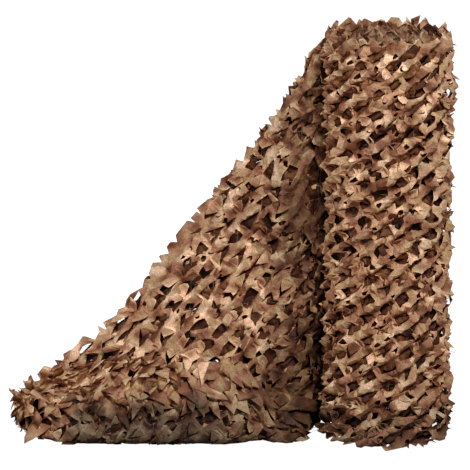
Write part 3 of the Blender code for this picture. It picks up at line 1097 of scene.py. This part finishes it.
# Before it leaves the roll it lies on the roll's back, over this angle
WRAP_ANGLE = math.radians(38)
WRAP_STEPS = 12
# The heap: the gap between its layers, its nose's height as a share of its crest's, the number
# of the bend that is its crest, and how high cloth on the floor lies
LAYER_GAP = 0.055
NOSE_SHARE = 0.45
CREST = 2
FLOOR_REST = 0.0015
# How finely the guide follows it: along, down each section, and above and below its crest
SECTION_STEPS, PROFILE_POINTS = 105, 161
ROWS_ABOVE, ROWS_BELOW = 90, 70
# Its length is measured at these shares of the slope, and past this x, round the heap's far
# end, along the crest and a row near the nose as well
SLOPE_SHARES = (0.3, 0.5, 0.7)
FAR_END_X = -1.20
NOSE_ROW = 0.15
# Its free edges: how far the guide runs on past them, where they begin, and the top edge's tips
EDGE_MARGIN = 0.06
START_MARGIN = 0.032
TOP_TIP_SPACING, TOP_TIP_HEIGHT = 0.050, 0.034
TOP_CLEAR = 0.006
SHEET_FLOW = math.radians(135)
# Below the first height leaves turn to lie along the floor, and below the second the toe is down
SPLAY_HEIGHT, TOE_HEIGHT = 0.05, 0.012
# The share of its relief that the cloth has at the roll, over what length it gains the rest, and
# the share it has at the start of its wrap
ROLL_RELIEF, RELIEF_GAIN, WRAP_RELIEF = 0.45, 0.04, 0.8

# Sections through it from the roll to the far end, each with the places of its bends: the top
# edge, the foot of the slope, the crest, nose, toe and heel of the heap, and the edge inside it
Section = namedtuple(
    "Section", "top_x top_y top_z foot_x sag crest_y crest_z nose_y toe_y heel_y back_z inner_y"
)
SECTIONS = (
    (START_X, START_Y, 1.490, START_X, 0.0, START_Y, 0.150, START_Y, START_Y, START_Y, 0.002,
     START_Y),
    (-0.235, 0.098, 1.400, -0.240, -0.020, 0.110, 0.150, 0.106, 0.106, 0.140, 0.002, 0.140),
    (-0.295, 0.055, 1.322, -0.272, 0.020, 0.010, 0.110, -0.020, -0.005, 0.115, 0.002, 0.115),
    (-0.380, 0.080, 1.205, -0.350, 0.060, -0.120, 0.085, -0.170, -0.150, 0.090, 0.002, 0.090),
    (-0.460, 0.120, 1.065, -0.460, 0.070, -0.080, 0.165, -0.115, -0.120, 0.120, 0.002, 0.120),
    (-0.560, 0.160, 0.935, -0.560, 0.070, -0.120, 0.185, -0.190, -0.165, 0.170, 0.012, 0.170),
    (-0.680, 0.190, 0.770, -0.690, 0.070, -0.110, 0.170, -0.180, -0.160, 0.235, 0.130, 0.240),
    (-0.800, 0.215, 0.615, -0.810, 0.060, -0.115, 0.165, -0.190, -0.165, 0.260, 0.250, 0.250),
    (-0.930, 0.235, 0.435, -0.935, 0.050, -0.110, 0.145, -0.185, -0.160, 0.275, 0.290, 0.190),
    (-1.060, 0.245, 0.300, -1.055, 0.035, -0.110, 0.142, -0.185, -0.160, 0.285, 0.215, 0.080),
    (-1.180, 0.240, 0.215, -1.165, 0.020, -0.100, 0.138, -0.165, -0.145, 0.275, 0.150, 0.030),
    (-1.280, 0.225, 0.140, -1.262, 0.008, -0.060, 0.120, -0.115, -0.100, 0.255, 0.090, 0.040),
    (-1.340, 0.205, 0.100, -1.320, 0.004, 0.010, 0.096, -0.030, -0.015, 0.225, 0.060, 0.080),
    (-1.368, 0.180, 0.078, -1.350, 0.000, 0.085, 0.074, 0.060, 0.075, 0.190, 0.045, 0.120),
)
# Painted shade in the fold beside the roll: at some heights, the x where it begins, the width over which it darkens,
# and how dark it grows
FOLD_SHADES = (
    (0.0, -0.600, 0.26, 1.0), (0.22, -0.690, 0.31, 1.0), (0.34, -0.600, 0.28, 0.95),
    (0.50, -0.455, 0.14, 0.70), (0.68, -0.455, 0.085, 0.84), (0.85, -0.460, 0.12, 0.95),
    (1.0, -0.430, 0.11, 0.66), (1.13, -0.450, 0.12, 0.70), (1.24, -0.410, 0.12, 0.80),
    (1.36, -0.380, 0.11, 0.45),
)
# Painted shade shows from a little over the crest downward, on the heap's front, and less toward the far end
SHADE_OVER_CREST, SHADE_BLEND = 0.012, 0.065
FAR_END_SHADE_FADE = ((-1.26, 0.0), (-1.12, 1.0))
# A torn opening in the front ply, as x and z from the front
OPENING = (
    (-0.262, 1.030), (-0.290, 0.985), (-0.283, 0.930), (-0.300, 0.880), (-0.278, 0.815),
    (-0.250, 0.800), (-0.240, 0.870), (-0.243, 0.960),
)
OPENING_CLEAR = 0.008
# How high over the crest the crowded leaves of the heap reach, at some distances along the cloth
CROWDED_TOPS = ((0.2, -0.02), (0.5, 0.04), (0.75, 0.10), (1.0, 0.20), (1.3, 0.20))
# How far leaves may stand off the cloth at each bend of a section, as a share
LEAF_ROOM = (1.0, 1.0, 1.0, 0.7, 0.7, 0.12, 0.6, 1.0, 0.8)


def smooth_curve(knots, count):
    """Points along the Catmull-Rom curve through the knots, as many from knot to knot."""
    padded = np.vstack([2 * knots[0] - knots[1], knots, 2 * knots[-1] - knots[-2]])
    places = np.linspace(0, len(knots) - 1, count)
    first = np.clip(places.astype(int), 0, len(knots) - 2)
    t = (places - first)[:, None]
    before, start, end, after = (padded[first + step] for step in range(4))
    bend = 2 * before - 5 * start + 4 * end - after
    twist = 3 * start - before - 3 * end + after
    return start + 0.5 * t * (end - before + t * (bend + t * twist))


def section_knots(section):
    """The bends of one section, from the top edge to the edge inside the heap."""
    slope_x = (section.top_x + section.foot_x) / 2
    slope_y = (section.top_y + section.crest_y + section.sag) / 2
    slope_z = (section.top_z + section.crest_z) / 2
    inner_z = section.crest_z - LAYER_GAP if section.back_z > LAYER_GAP else FLOOR_REST
    knots = np.array([
        (section.top_x, section.top_y, section.top_z),
        (slope_x, slope_y, slope_z),
        (section.foot_x, section.crest_y, section.crest_z),
        (section.foot_x, section.nose_y, NOSE_SHARE * section.crest_z),
        (section.foot_x, section.toe_y, FLOOR_REST),
        (section.foot_x, (section.toe_y + section.heel_y) / 2, FLOOR_REST),
        (section.foot_x, section.heel_y, section.back_z / 4),
        (section.top_x, section.heel_y + 0.009, section.back_z),
        (section.top_x, section.inner_y, inner_z),
    ])
    knots[6:, 2] = np.maximum(knots[6:, 2], FLOOR_REST)
    return knots


def run_on(end, before):
    """A point a margin past the end of a line."""
    return end + (end - before) / max(np.linalg.norm(end - before), 1e-6) * EDGE_MARGIN


def section_profile(section):
    """One column of the guide, from the edge inside the heap up to the top edge: its points,
    their heights on the cloth, and how far leaves may stand off there."""
    curve = smooth_curve(section_knots(section), PROFILE_POINTS)
    curve[:, 2] = np.maximum(curve[:, 2], FLOOR_REST)
    last = len(LEAF_ROOM) - 1
    crest = (PROFILE_POINTS - 1) // last * CREST
    crest_height = curve[crest, 2]
    along = distances(curve)
    # Heights count from the floor at the crest, so that level lines of the cloth lie level
    height = along[crest] - along + crest_height
    # Both ends run on a little, so that the tips along them have something to lie on
    curve = np.vstack([run_on(curve[0], curve[2]), curve, run_on(curve[-1], curve[-3])])
    height = np.concatenate([[height[0] + EDGE_MARGIN], height, [height[-1] - EDGE_MARGIN]])
    bends = np.concatenate([[0], np.linspace(0, last, PROFILE_POINTS), [last]])
    wanted = np.concatenate([
        np.linspace(height[-1], crest_height, ROWS_BELOW, endpoint=False),
        np.linspace(crest_height, height[0], ROWS_ABOVE),
    ])
    # Read from below upward, as interpolation wants rising heights
    *column, bend = (
        np.interp(wanted, height[::-1], line[::-1]) for line in (*curve.T, bends)
    )
    return np.array(column).T, wanted, np.interp(bend, range(last + 1), LEAF_ROOM)


def draped_guide():
    """The loose length's guide. With it come its inner, crest and top lines as flat points, its
    toe line in space, and a function that finds the flat place seen at an x and z in front."""
    sections = [Section(*row) for row in smooth_curve(np.array(SECTIONS), SECTION_STEPS)]
    points, heights, rooms = map(np.array, zip(*map(section_profile, sections)))
    # Steps between columns, taken about the middle of the slope, and round the heap's far end
    # also along its crest and nose, which go further there
    slope_rows = [ROWS_BELOW + round(ROWS_ABOVE * share) for share in SLOPE_SHARES]
    front_rows = [ROWS_BELOW, ROWS_BELOW - round(ROWS_BELOW * NOSE_ROW)]
    steps, further = (
        np.linalg.norm(np.diff(points[:, rows], axis=0)[..., :2], axis=2).mean(axis=1)
        for rows in (slope_rows, front_rows)
    )
    steps = np.maximum(steps, np.where(points[1:, ROWS_BELOW, 0] < FAR_END_X, further, 0))
    along = np.concatenate([[0], np.cumsum(steps)])
    # Past the far end the sheet runs on a little as well
    far = points[-1] + (points[-1] - points[-3]) / (along[-1] - along[-3]) * EDGE_MARGIN
    points = np.concatenate([points, far[None]])
    heights, rooms = np.vstack([heights, heights[-1]]), np.vstack([rooms, rooms[-1]])
    along = np.append(along, along[-1] + EDGE_MARGIN)
    outward = -np.cross(np.gradient(points, axis=0), np.gradient(points, axis=1))
    outward /= np.maximum(np.linalg.norm(outward, axis=2, keepdims=True), 1e-9)
    for _ in range(3):
        outward[:, 1:-1] = (outward[:, :-2] + outward[:, 2:] + outward[:, 1:-1]) / 3
    # On the floor, leaves splay along it
    floor_share = np.clip(1 - points[..., 2] / SPLAY_HEIGHT, 0, 1)
    outward[..., 2] *= np.where(outward[..., 2] < 0, 1 - floor_share, 1)
    relief = ROLL_RELIEF + (1 - ROLL_RELIEF) * np.clip(along / RELIEF_GAIN, 0, 1)
    outward *= rooms[..., None] * relief[:, None, None]
    # Where it comes off the roll it first lies on the roll's back
    angles = LEAVING_ANGLE - WRAP_ANGLE + np.linspace(0, WRAP_ANGLE, WRAP_STEPS + 1)[:-1]
    radial = np.stack([np.cos(angles), np.sin(angles), np.zeros(WRAP_STEPS)], axis=-1)
    lift = np.linspace(WRAP_RELIEF, ROLL_RELIEF, WRAP_STEPS + 1)[:-1]
    wrap, wrap_out = (
        np.repeat((radial * reach)[:, None], points.shape[1], axis=1)
        for reach in (START_RADIUS, lift[:, None])
    )
    wrap[..., 2] = points[0, :, 2]
    points = np.concatenate([wrap, points])
    outward = np.concatenate([wrap_out, outward])
    heights = np.concatenate([np.repeat(heights[:1], WRAP_STEPS, axis=0), heights])
    along = np.concatenate([(angles - LEAVING_ANGLE) * START_RADIUS, along])
    flat = np.stack(np.broadcast_arrays(along[:, None], heights), axis=-1)
    points[..., 2] = np.maximum(points[..., 2], FLOOR_REST)
    guide = guide_surface("draped_guide", points, flat, outward)
    inner_line, crest_line, top_line = (
        np.column_stack([along[1:-1], level[1:-1]]) for level in (
            heights[:, 0] + EDGE_MARGIN, heights[:, ROWS_BELOW],
            heights[:, -1] - EDGE_MARGIN - TOP_CLEAR,
        )
    )
    # The toe is the highest row below the crest that touches the floor
    touching = points[1:-1, :ROWS_BELOW, 2] < TOE_HEIGHT
    toe_rows = ROWS_BELOW - 1 - touching[:, ::-1].argmax(axis=1)
    toe_line = points[np.arange(1, len(toe_rows) + 1), toe_rows]
    front = points[:, ROWS_BELOW:].reshape(-1, 3)[:, [0, 2]]
    front_flat = flat[:, ROWS_BELOW:].reshape(-1, 2)

    def flat_place(x, z):
        return front_flat[np.linalg.norm(front - (x, z), axis=1).argmin()]

    return guide, inner_line, crest_line, top_line, toe_line, flat_place


def thick_and_shaded(cloth, guide, material, seed, settings):
    """Lays flat cloth on a guide, thickens it and marks where painted shade darkens it: under the heap's crest and in
    the fold beside the roll.
    """
    lay_cloth(cloth, guide, material, seed, settings)
    count = len(cloth.data.vertices)
    place, flat = np.empty(count * 3), np.empty(count * 3)
    cloth.data.vertices.foreach_get("co", place)
    cloth.data.attributes["cloth_place"].data.foreach_get("vector", flat)
    x, z = place[0::3], place[2::3]
    along, height = flat[0::3], flat[1::3]
    # The painted shade under the crest begins along a wavy line about it, and the painted shade of the fold along one
    # down the slope
    wave = 0.02 * np.sin(along * 31) + 0.014 * np.sin(along * 57 + 1) + 0.01 * np.sin(height * 47)
    over_crest = height - read_off(crest_line, along)
    below = np.clip((wave - over_crest + SHADE_OVER_CREST) / SHADE_BLEND, 0, 1)
    fold_start, fold_width, fold_depth = (
        read_off([(shade[0], shade[part]) for shade in FOLD_SHADES], z) for part in (1, 2, 3)
    )
    beside = np.clip((x - fold_start - wave * 0.6) / fold_width, 0, 1) * fold_depth
    # The painted shade under the crest fades out toward the far end, which keeps its printed colour all the way down
    below *= read_off(FAR_END_SHADE_FADE, x)
    mark_points(cloth.data, turned_over=np.clip(below - beside, 0, 1), deep_fold=beside)
    return cloth


def stays_cut(leaf, opening):
    """Whether a leaf lies clear of the opening and of the place that crowded leaves cover."""
    inside, distance = inside_outline(opening, leaf.outline)
    over_crest = leaf.hinge[1] - read_off(crest_line, leaf.hinge[0])
    crowded = 0 < over_crest < read_off(CROWDED_TOPS, leaf.hinge[0])
    return distance.min() > OPENING_CLEAR and not inside.any() and not crowded


def draped_cloth(name, border, seed, material, settings, leafy, step=CLOTH_STEP, every=1,
                 opening=None):
    """A ply of the loose length within its border. Only every so many of its leaves are slit."""
    rng = np.random.default_rng(seed)
    leaves = cut_leaves(border, leafy, rng)
    if opening is not None:
        leaves = [leaf for leaf in leaves if stays_cut(leaf, opening)]
    leaves = leaves[::every]
    curls = leaf_curls(len(leaves), leafy, rng)
    cloth = cut_cloth(name, border, leaves, curls, leafy, step, rng, opening)
    return thick_and_shaded(cloth, loose_guide, material, seed, settings)


def loose_border(seed):
    """The outline of a ply of the loose length, its free edges in tips."""
    rng = np.random.default_rng(seed)
    inner, top = (line[line[:, 0] > START_MARGIN] for line in (inner_line, top_line))
    return np.array(
        tipped_edge(inner, rng) + tipped_edge([inner[-1], top[-1]], rng, TOP_TIP_SPACING)
        + tipped_edge(top[::-1], rng, TOP_TIP_SPACING, TOP_TIP_HEIGHT)
        + tipped_edge([top[0], inner[0]], rng)
    )


loose_guide, inner_line, crest_line, top_line, toe_line, flat_place = draped_guide()
opening = np.array([flat_place(x, z) for x, z in OPENING])[::-1]
# Its material paints shade under the heap's crest, in the fold beside the roll and toward the floor
loose_cloth = camo_cloth("loose_cloth", 1.0, 3.0, crest_and_fold_shade=True, floor_shade_height=0.05)
front_border = loose_border(21)
LOOSE_LIE = {"Swell": 0.05, "Swell Length": 0.10, "Drift": 0.03}
loose_front = draped_cloth(
    "loose_front_ply", front_border, 21, loose_cloth, LOOSE_LIE,
    LeafStyle(
        SHEET_FLOW, SHEET_SHARES, bend=0.74, folded=0.25, turned=0.08, hinge=0.14, curl=0.12,
        twist=0.40, scale=1.18, tucked=0.5, shrink=0.75, bulge=0.009,
    ),
    opening=opening,
)


# Carrier net of the loose length
# The same knotted twine, laid between the front and the middle ply. It stops above the heap,
# where crowded leaves cover the cloth.
TWINE_ABOVE = 0.45


def on_loose_length(point):
    """Whether a flat point lies on the loose length, above the heap."""
    lowest = max(read_off(inner_line, point[0]), TWINE_ABOVE)
    highest = read_off(top_line, point[0])
    return inner_line[0, 0] < point[0] < inner_line[-1, 0] and lowest < point[1] < highest


loose_twine = carrier_net(
    "loose_twine", loose_guide, (inner_line[0, 0], inner_line[:, 1].min()),
    (inner_line[-1, 0], top_line[:, 1].max()), on_loose_length,
    {"Swell": 0.03, "Swell Length": 0.10, "Offset": -0.010, "Seed": 21.0},
)
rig.replaces(loose_twine, "loose_length")
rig.ride(loose_front, "root")
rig.replaces(loose_front, "loose_length")
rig.slot(loose_front, "leaf_cut_cloth")


# Leaves on the heap
# Where the net slumps, its leaves crowd and hang over each other like tiles. They are cut from
# the same cloth, each hinged at its upper end.
HEAP_LOW, HEAP_START = -0.06, 0.30
HEAP_COLUMNS_APART, HEAP_ROWS_APART = 0.048, 0.041
HEAP_FLOW = math.radians(-125)
HEAP_SHAPES = (0, 3, 3, 5, 6, 6)
HEAP_SIZES = (0.75, 1.25)
HEAP_LEAF_RIM = 0.5
HEAP_SHIFT = 0.012
# How far they stay off the far end and the top edge, and how far over their line they start
HEAP_END_CLEAR, HEAP_TOP_CLEAR, HEAP_OVER_TOP = 0.016, 0.03, 0.03
# The points inside each leaf, as shares of its length
INNER_POINTS = (0.28, 0.62)
# The flatter the heap lies, the further its leaves stand up: at some distances along the cloth
HEAP_STANDS = ((0.5, 1.0), (1.0, 2.0))


def crowded_leaves(name, places, style, seed):
    """Single leaves at flat places, each cut from the cloth and curled about its hinge."""
    rng = np.random.default_rng(seed)
    leaves = [
        one_leaf(
            place, style.flow + rng.normal(0, style.spread), style.scale * rng.uniform(*HEAP_SIZES),
            rng.choice((-1, 1)), LEAF_SHAPES[rng.choice(HEAP_SHAPES)], style.slim,
        )
        for place in places
    ]
    curls = leaf_curls(len(leaves), style, rng)
    points, flats, tints, triangles = [], [], [], []
    for leaf, curl in zip(leaves, curls):
        curl = curl._replace(bend=curl.bend * read_off(style.stands, leaf.hinge[0]))
        middle = [leaf.hinge + leaf.way * leaf.length * share for share in INNER_POINTS]
        found = geometry.delaunay_2d_cdt(
            [Vector(point) for point in (*leaf.outline, *middle)], [],
            [list(range(len(leaf.outline)))], 1, 1e-6, False,
        )
        flat = np.array([tuple(point) for point in found[0]])
        start = len(flats)
        points += curled(leaf, curl, flat, style).tolist()
        flats += [(*place, 0.0) for place in flat]
        tints += [rng.uniform(-1, 1)] * len(flat)
        triangles += [[start + corner for corner in face] for face in found[2]]
    rims = [HEAP_LEAF_RIM] * len(points)
    return marked_piece(
        name, points, [], triangles, cloth_place=flats, cut_rim=rims, leaf_tint=tints
    )


heap_rng = np.random.default_rng(31)
heap_places = [
    (u, read_off(crest_line, u) + v) + heap_rng.uniform(-HEAP_SHIFT, HEAP_SHIFT, 2)
    for v in np.arange(HEAP_LOW, CROWDED_TOPS[-1][1], HEAP_ROWS_APART)
    for u in np.arange(HEAP_START, top_line[-1, 0] - HEAP_END_CLEAR, HEAP_COLUMNS_APART)
    if v < read_off(CROWDED_TOPS, u) + HEAP_OVER_TOP
]
heap_places = [
    place for place in heap_places if place[1] < read_off(top_line, place[0]) - HEAP_TOP_CLEAR
]
heap_leaves = thick_and_shaded(
    crowded_leaves(
        "loose_heap_leaves", heap_places,
        LeafStyle(
            HEAP_FLOW, SHEET_SHARES, bend=0.45, folded=0, turned=0, hinge=0.2, curl=0.15,
            twist=0.35, scale=1.70, spread=0.5, slim=0.76, stands=HEAP_STANDS,
        ),
        33,
    ),
    loose_guide, loose_cloth, 21, {**LOOSE_LIE, "Offset": 0.005},
)
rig.ride(heap_leaves, "root")
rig.replaces(heap_leaves, "loose_length")
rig.slot(heap_leaves, "leaf_cut_cloth")


# Leaves along the toe
# Where the heap meets the floor, leaves of the net splay out flat on it. Two long ones hang
# down in front of the far end. All belong to the front ply, whose sheet is declared here.
TOE_LEAVES_APART = 0.036
TOE_START, TOE_END_CLEAR = 0.16, 0.03
TOE_SHIFTS = (-0.012, 0.006)
OUTWARD = math.radians(90)
# The strip that they lie on: its width, how far inside the toe it begins, and its top there
APRON_WIDTH = 0.25
APRON_INSIDE = 0.03
APRON_TOP = 0.024
# The two hanging leaves: x, place down the slope, scale and seed
HANGING = ((-1.255, 0.085, 1.9, 36), (-1.150, 0.034, 1.4, 37))
HANGING_TOP, HANGING_FOOT = 0.085, 0.150


def apron_guide(toe, top, foot):
    """A strip before the toe line, counted outward from inside it. It slopes down to the floor."""
    along = distances(toe[:, :2])
    even = np.linspace(0, along[-1], 120)
    line = np.array([np.interp(even, along, toe[:, axis]) for axis in (0, 1)]).T
    for _ in range(6):
        line[1:-1] = (line[:-2] + line[2:] + line[1:-1]) / 3
    run = np.gradient(line, axis=0)
    run /= np.linalg.norm(run, axis=1, keepdims=True)
    away = np.stack([-run[:, 1], run[:, 0]], axis=-1)
    reach = np.linspace(0, APRON_WIDTH, 17)
    points = np.zeros((len(line), len(reach), 3))
    points[..., :2] = line[:, None] + away[:, None] * (reach - APRON_INSIDE)[:, None]
    points[..., 2] = 0.002 + np.clip(1 - reach / foot, 0, None) * top
    outward = np.zeros_like(points)
    outward[..., 2] = 1
    flat = np.stack(np.broadcast_arrays(even[:, None], reach), axis=-1)
    return guide_surface("apron_guide", points, flat, outward), line, even


floor_guide, floor_line, floor_along = apron_guide(toe_line, APRON_TOP, APRON_INSIDE)
toe_places = [
    (u, APRON_INSIDE + heap_rng.uniform(*TOE_SHIFTS))
    for u in np.arange(TOE_START, floor_along[-1] - TOE_END_CLEAR, TOE_LEAVES_APART)
]
TOE_LIE = {"Swell": 0.0, "Swell Length": 0.10}
toe_leaves = thick_and_shaded(
    crowded_leaves(
        "loose_toe_leaves", toe_places,
        LeafStyle(
            OUTWARD, SHEET_SHARES, bend=0.4, folded=0, turned=0, hinge=0.3, curl=0.3, twist=0.5,
            scale=1.0, spread=0.6, slim=0.8,
        ),
        35,
    ),
    floor_guide, loose_cloth, 21, {**TOE_LIE, "Offset": 0.002},
)
hanging_guide = apron_guide(toe_line, HANGING_TOP, HANGING_FOOT)[0]
toe_pieces = [toe_leaves]
for number, (x, down, size, seed) in enumerate(HANGING, 1):
    toe_pieces.append(thick_and_shaded(
        crowded_leaves(
            f"loose_hanging_leaf_{number}", [(np.interp(-x, -floor_line[:, 0], floor_along), down)],
            LeafStyle(
                OUTWARD, SHEET_SHARES, bend=0.08, folded=0, turned=0, hinge=0.5, curl=0.1,
                twist=0.1, scale=size, spread=0.1, slim=1.3,
            ),
            seed,
        ),
        (hanging_guide if number == 1 else floor_guide), loose_cloth, 21, TOE_LIE,
    ))
bpy.data.objects.remove(floor_guide["Guide"])
bpy.data.objects.remove(hanging_guide["Guide"])
for leaves in toe_pieces:
    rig.ride(leaves, "root")
    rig.replaces(leaves, "loose_length")
    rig.slot(leaves, "leaf_cut_cloth")
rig.sheet(
    loose_front, **flat_cut(front_border, opening), held="draped", rests_on=["roll_outer_turn"],
    with_pieces=[loose_twine, heap_leaves, *toe_pieces],
)


# Loose length, middle ply
# The net lies doubled here. Between the outer plies its leaves are pressed nearly flat and few are slit. Little light
# reaches it, and it is painted darker and browner as painted shade.
middle_border = loose_border(24)
middle_cloth = camo_cloth("middle_cloth", 0.32, 7.0, shade_colour=INNER_SHADE_TINT)
loose_middle = draped_cloth(
    "loose_middle_ply", middle_border, 24, middle_cloth,
    {"Swell": 0.02, "Swell Length": 0.12, "Drift": 0.02, "Offset": -0.020},
    LeafStyle(
        SHEET_FLOW + 0.5, SHEET_SHARES, bend=0.08, folded=0, turned=0.5, hinge=0.3, curl=0,
        twist=0, scale=1.0,
    ),
    step=0.020, every=17,
)
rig.ride(loose_middle, "root")
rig.replaces(loose_middle, "loose_length")
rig.slot(loose_middle, "leaf_cut_cloth")
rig.sheet(loose_middle, **flat_cut(middle_border), held="draped", rests_on=["roll_outer_turn"])


# Loose length, back ply
# The second ply of the net, behind the first, of the same cloth with its printed side out. Most
# of its leaves stand out to the back.
back_border = loose_border(27)
# Painted shade: this copy is painted a little darker than the front ply
back_cloth = camo_cloth("back_cloth", 0.95, 5.0)
loose_back = draped_cloth(
    "loose_back_ply", back_border, 27, back_cloth,
    {"Swell": 0.04, "Swell Length": 0.09, "Crumple": 0.02, "Crumple Length": 0.035, "Drift": 0.03,
     "Offset": -0.036},
    LeafStyle(
        SHEET_FLOW, SHEET_SHARES, bend=0.6, folded=0.15, turned=0.85, hinge=0.2, curl=0.5,
        twist=0.5, scale=1.1,
    ),
    step=0.018,
)
bpy.data.objects.remove(loose_guide["Guide"])
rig.ride(loose_back, "root")
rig.replaces(loose_back, "loose_length")
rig.slot(loose_back, "leaf_cut_cloth")
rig.sheet(loose_back, **flat_cut(back_border), held="draped", rests_on=["roll_outer_turn"])


# Studio
# A pale floor, a bright even surround, three soft lamps round the object and a sun from the
# front. A tone curve deepens the shadows and softens the highlights.
FLOOR_REACH, FLOOR_HEIGHT = 30, -0.001
FLOOR_COLOUR, FLOOR_GLOW = (0.28, 0.28, 0.28, 1), 1.4
SURROUND = 0.20
LAMPS_AIM = Vector((-0.5, 0, 0.6))
floor_corners = [
    (x * FLOOR_REACH, y * FLOOR_REACH, FLOOR_HEIGHT)
    for x, y in ((-1, -1), (1, -1), (1, 1), (-1, 1))
]
floor = marked_piece("studio_floor", floor_corners, [], [(0, 1, 2, 3)])
floor_material, floor_nodes, floor_shader = new_material("pale_floor")
floor_shader.inputs["Base Color"].default_value = FLOOR_COLOUR
floor_shader.inputs["Roughness"].default_value = 0.9
floor_shader.inputs["Specular IOR Level"].default_value = 0.0
# The floor shows white to the camera, but sends only some of the light back to the object
glow = node(floor_nodes, "ShaderNodeEmission", {"Strength": FLOOR_GLOW})[0]
lit = node(floor_nodes, "ShaderNodeAddShader", {0: floor_shader.outputs[0], 1: glow})[0]
seen = node(floor_nodes, "ShaderNodeLightPath")["Is Camera Ray"]
choice = node(floor_nodes, "ShaderNodeMixShader", {0: seen, 1: floor_shader.outputs[0], 2: lit})[0]
floor_nodes.links.new(choice, floor_nodes.nodes["Material Output"].inputs["Surface"])
floor.data.materials.append(floor_material)
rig.stage(floor)

world = bpy.data.worlds.new("studio")
scene.world = world
world.use_nodes = True
background = world.node_tree.nodes["Background"]
background.inputs["Color"].default_value = (1, 1, 1, 1)
background.inputs["Strength"].default_value = SURROUND
scene.view_settings.view_transform = "Standard"
# The tone curve, as what comes in and what goes out: deep shadows go dark, highlights stay soft
TONES = (
    (0.0, 0.0), (0.0030, 0.0026), (0.0056, 0.0052), (0.0123, 0.0110), (0.0222, 0.0215),
    (0.0331, 0.0335), (0.0513, 0.0550), (0.1144, 0.1200), (0.2016, 0.2120), (0.3050, 0.2950),
    (0.4072, 0.3600), (0.6038, 0.4900), (0.8632, 0.6700), (1.0, 0.7700),
)
scene.view_settings.use_curve_mapping = True
tone_mapping = scene.view_settings.curve_mapping
tone_mapping.initialize()
tone_curve = tone_mapping.curves[3]
tone_curve.points[0].location = TONES[0]
tone_curve.points[-1].location = TONES[-1]
for tone in TONES[1:-1]:
    tone_curve.points.new(*tone)
tone_mapping.update()


def area_light(name, place, size, power):
    """A soft square lamp that points at the middle of the object."""
    light = bpy.data.lights.new(name, "AREA")
    light.energy = power
    light.size = size
    lamp = in_scene(name, light)
    lamp.location = place
    way = LAMPS_AIM - Vector(place)
    lamp.rotation_euler = way.to_track_quat("-Z", "Y").to_euler()


area_light("key_lamp", (0.1, -3.0, 3.0), 0.5, 74)
area_light("fill_lamp", (-3.2, -1.8, 1.1), 1.0, 34)
area_light("back_lamp", (-0.6, 3.6, 1.8), 1.6, 60)

sun_data = bpy.data.lights.new("sun_lamp", "SUN")
sun_data.energy = 1.6
sun_data.angle = math.radians(2)
sun = in_scene("sun_lamp", sun_data)
sun.rotation_euler = Vector((-0.28, 0.80, -0.80)).to_track_quat("-Z", "Y").to_euler()

with open("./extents.json", "w") as size_file:
    boxes = {"cad": cad_box, "visual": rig.bounds()}
    json.dump({key: [list(corner) for corner in box] for key, box in boxes.items()}, size_file)
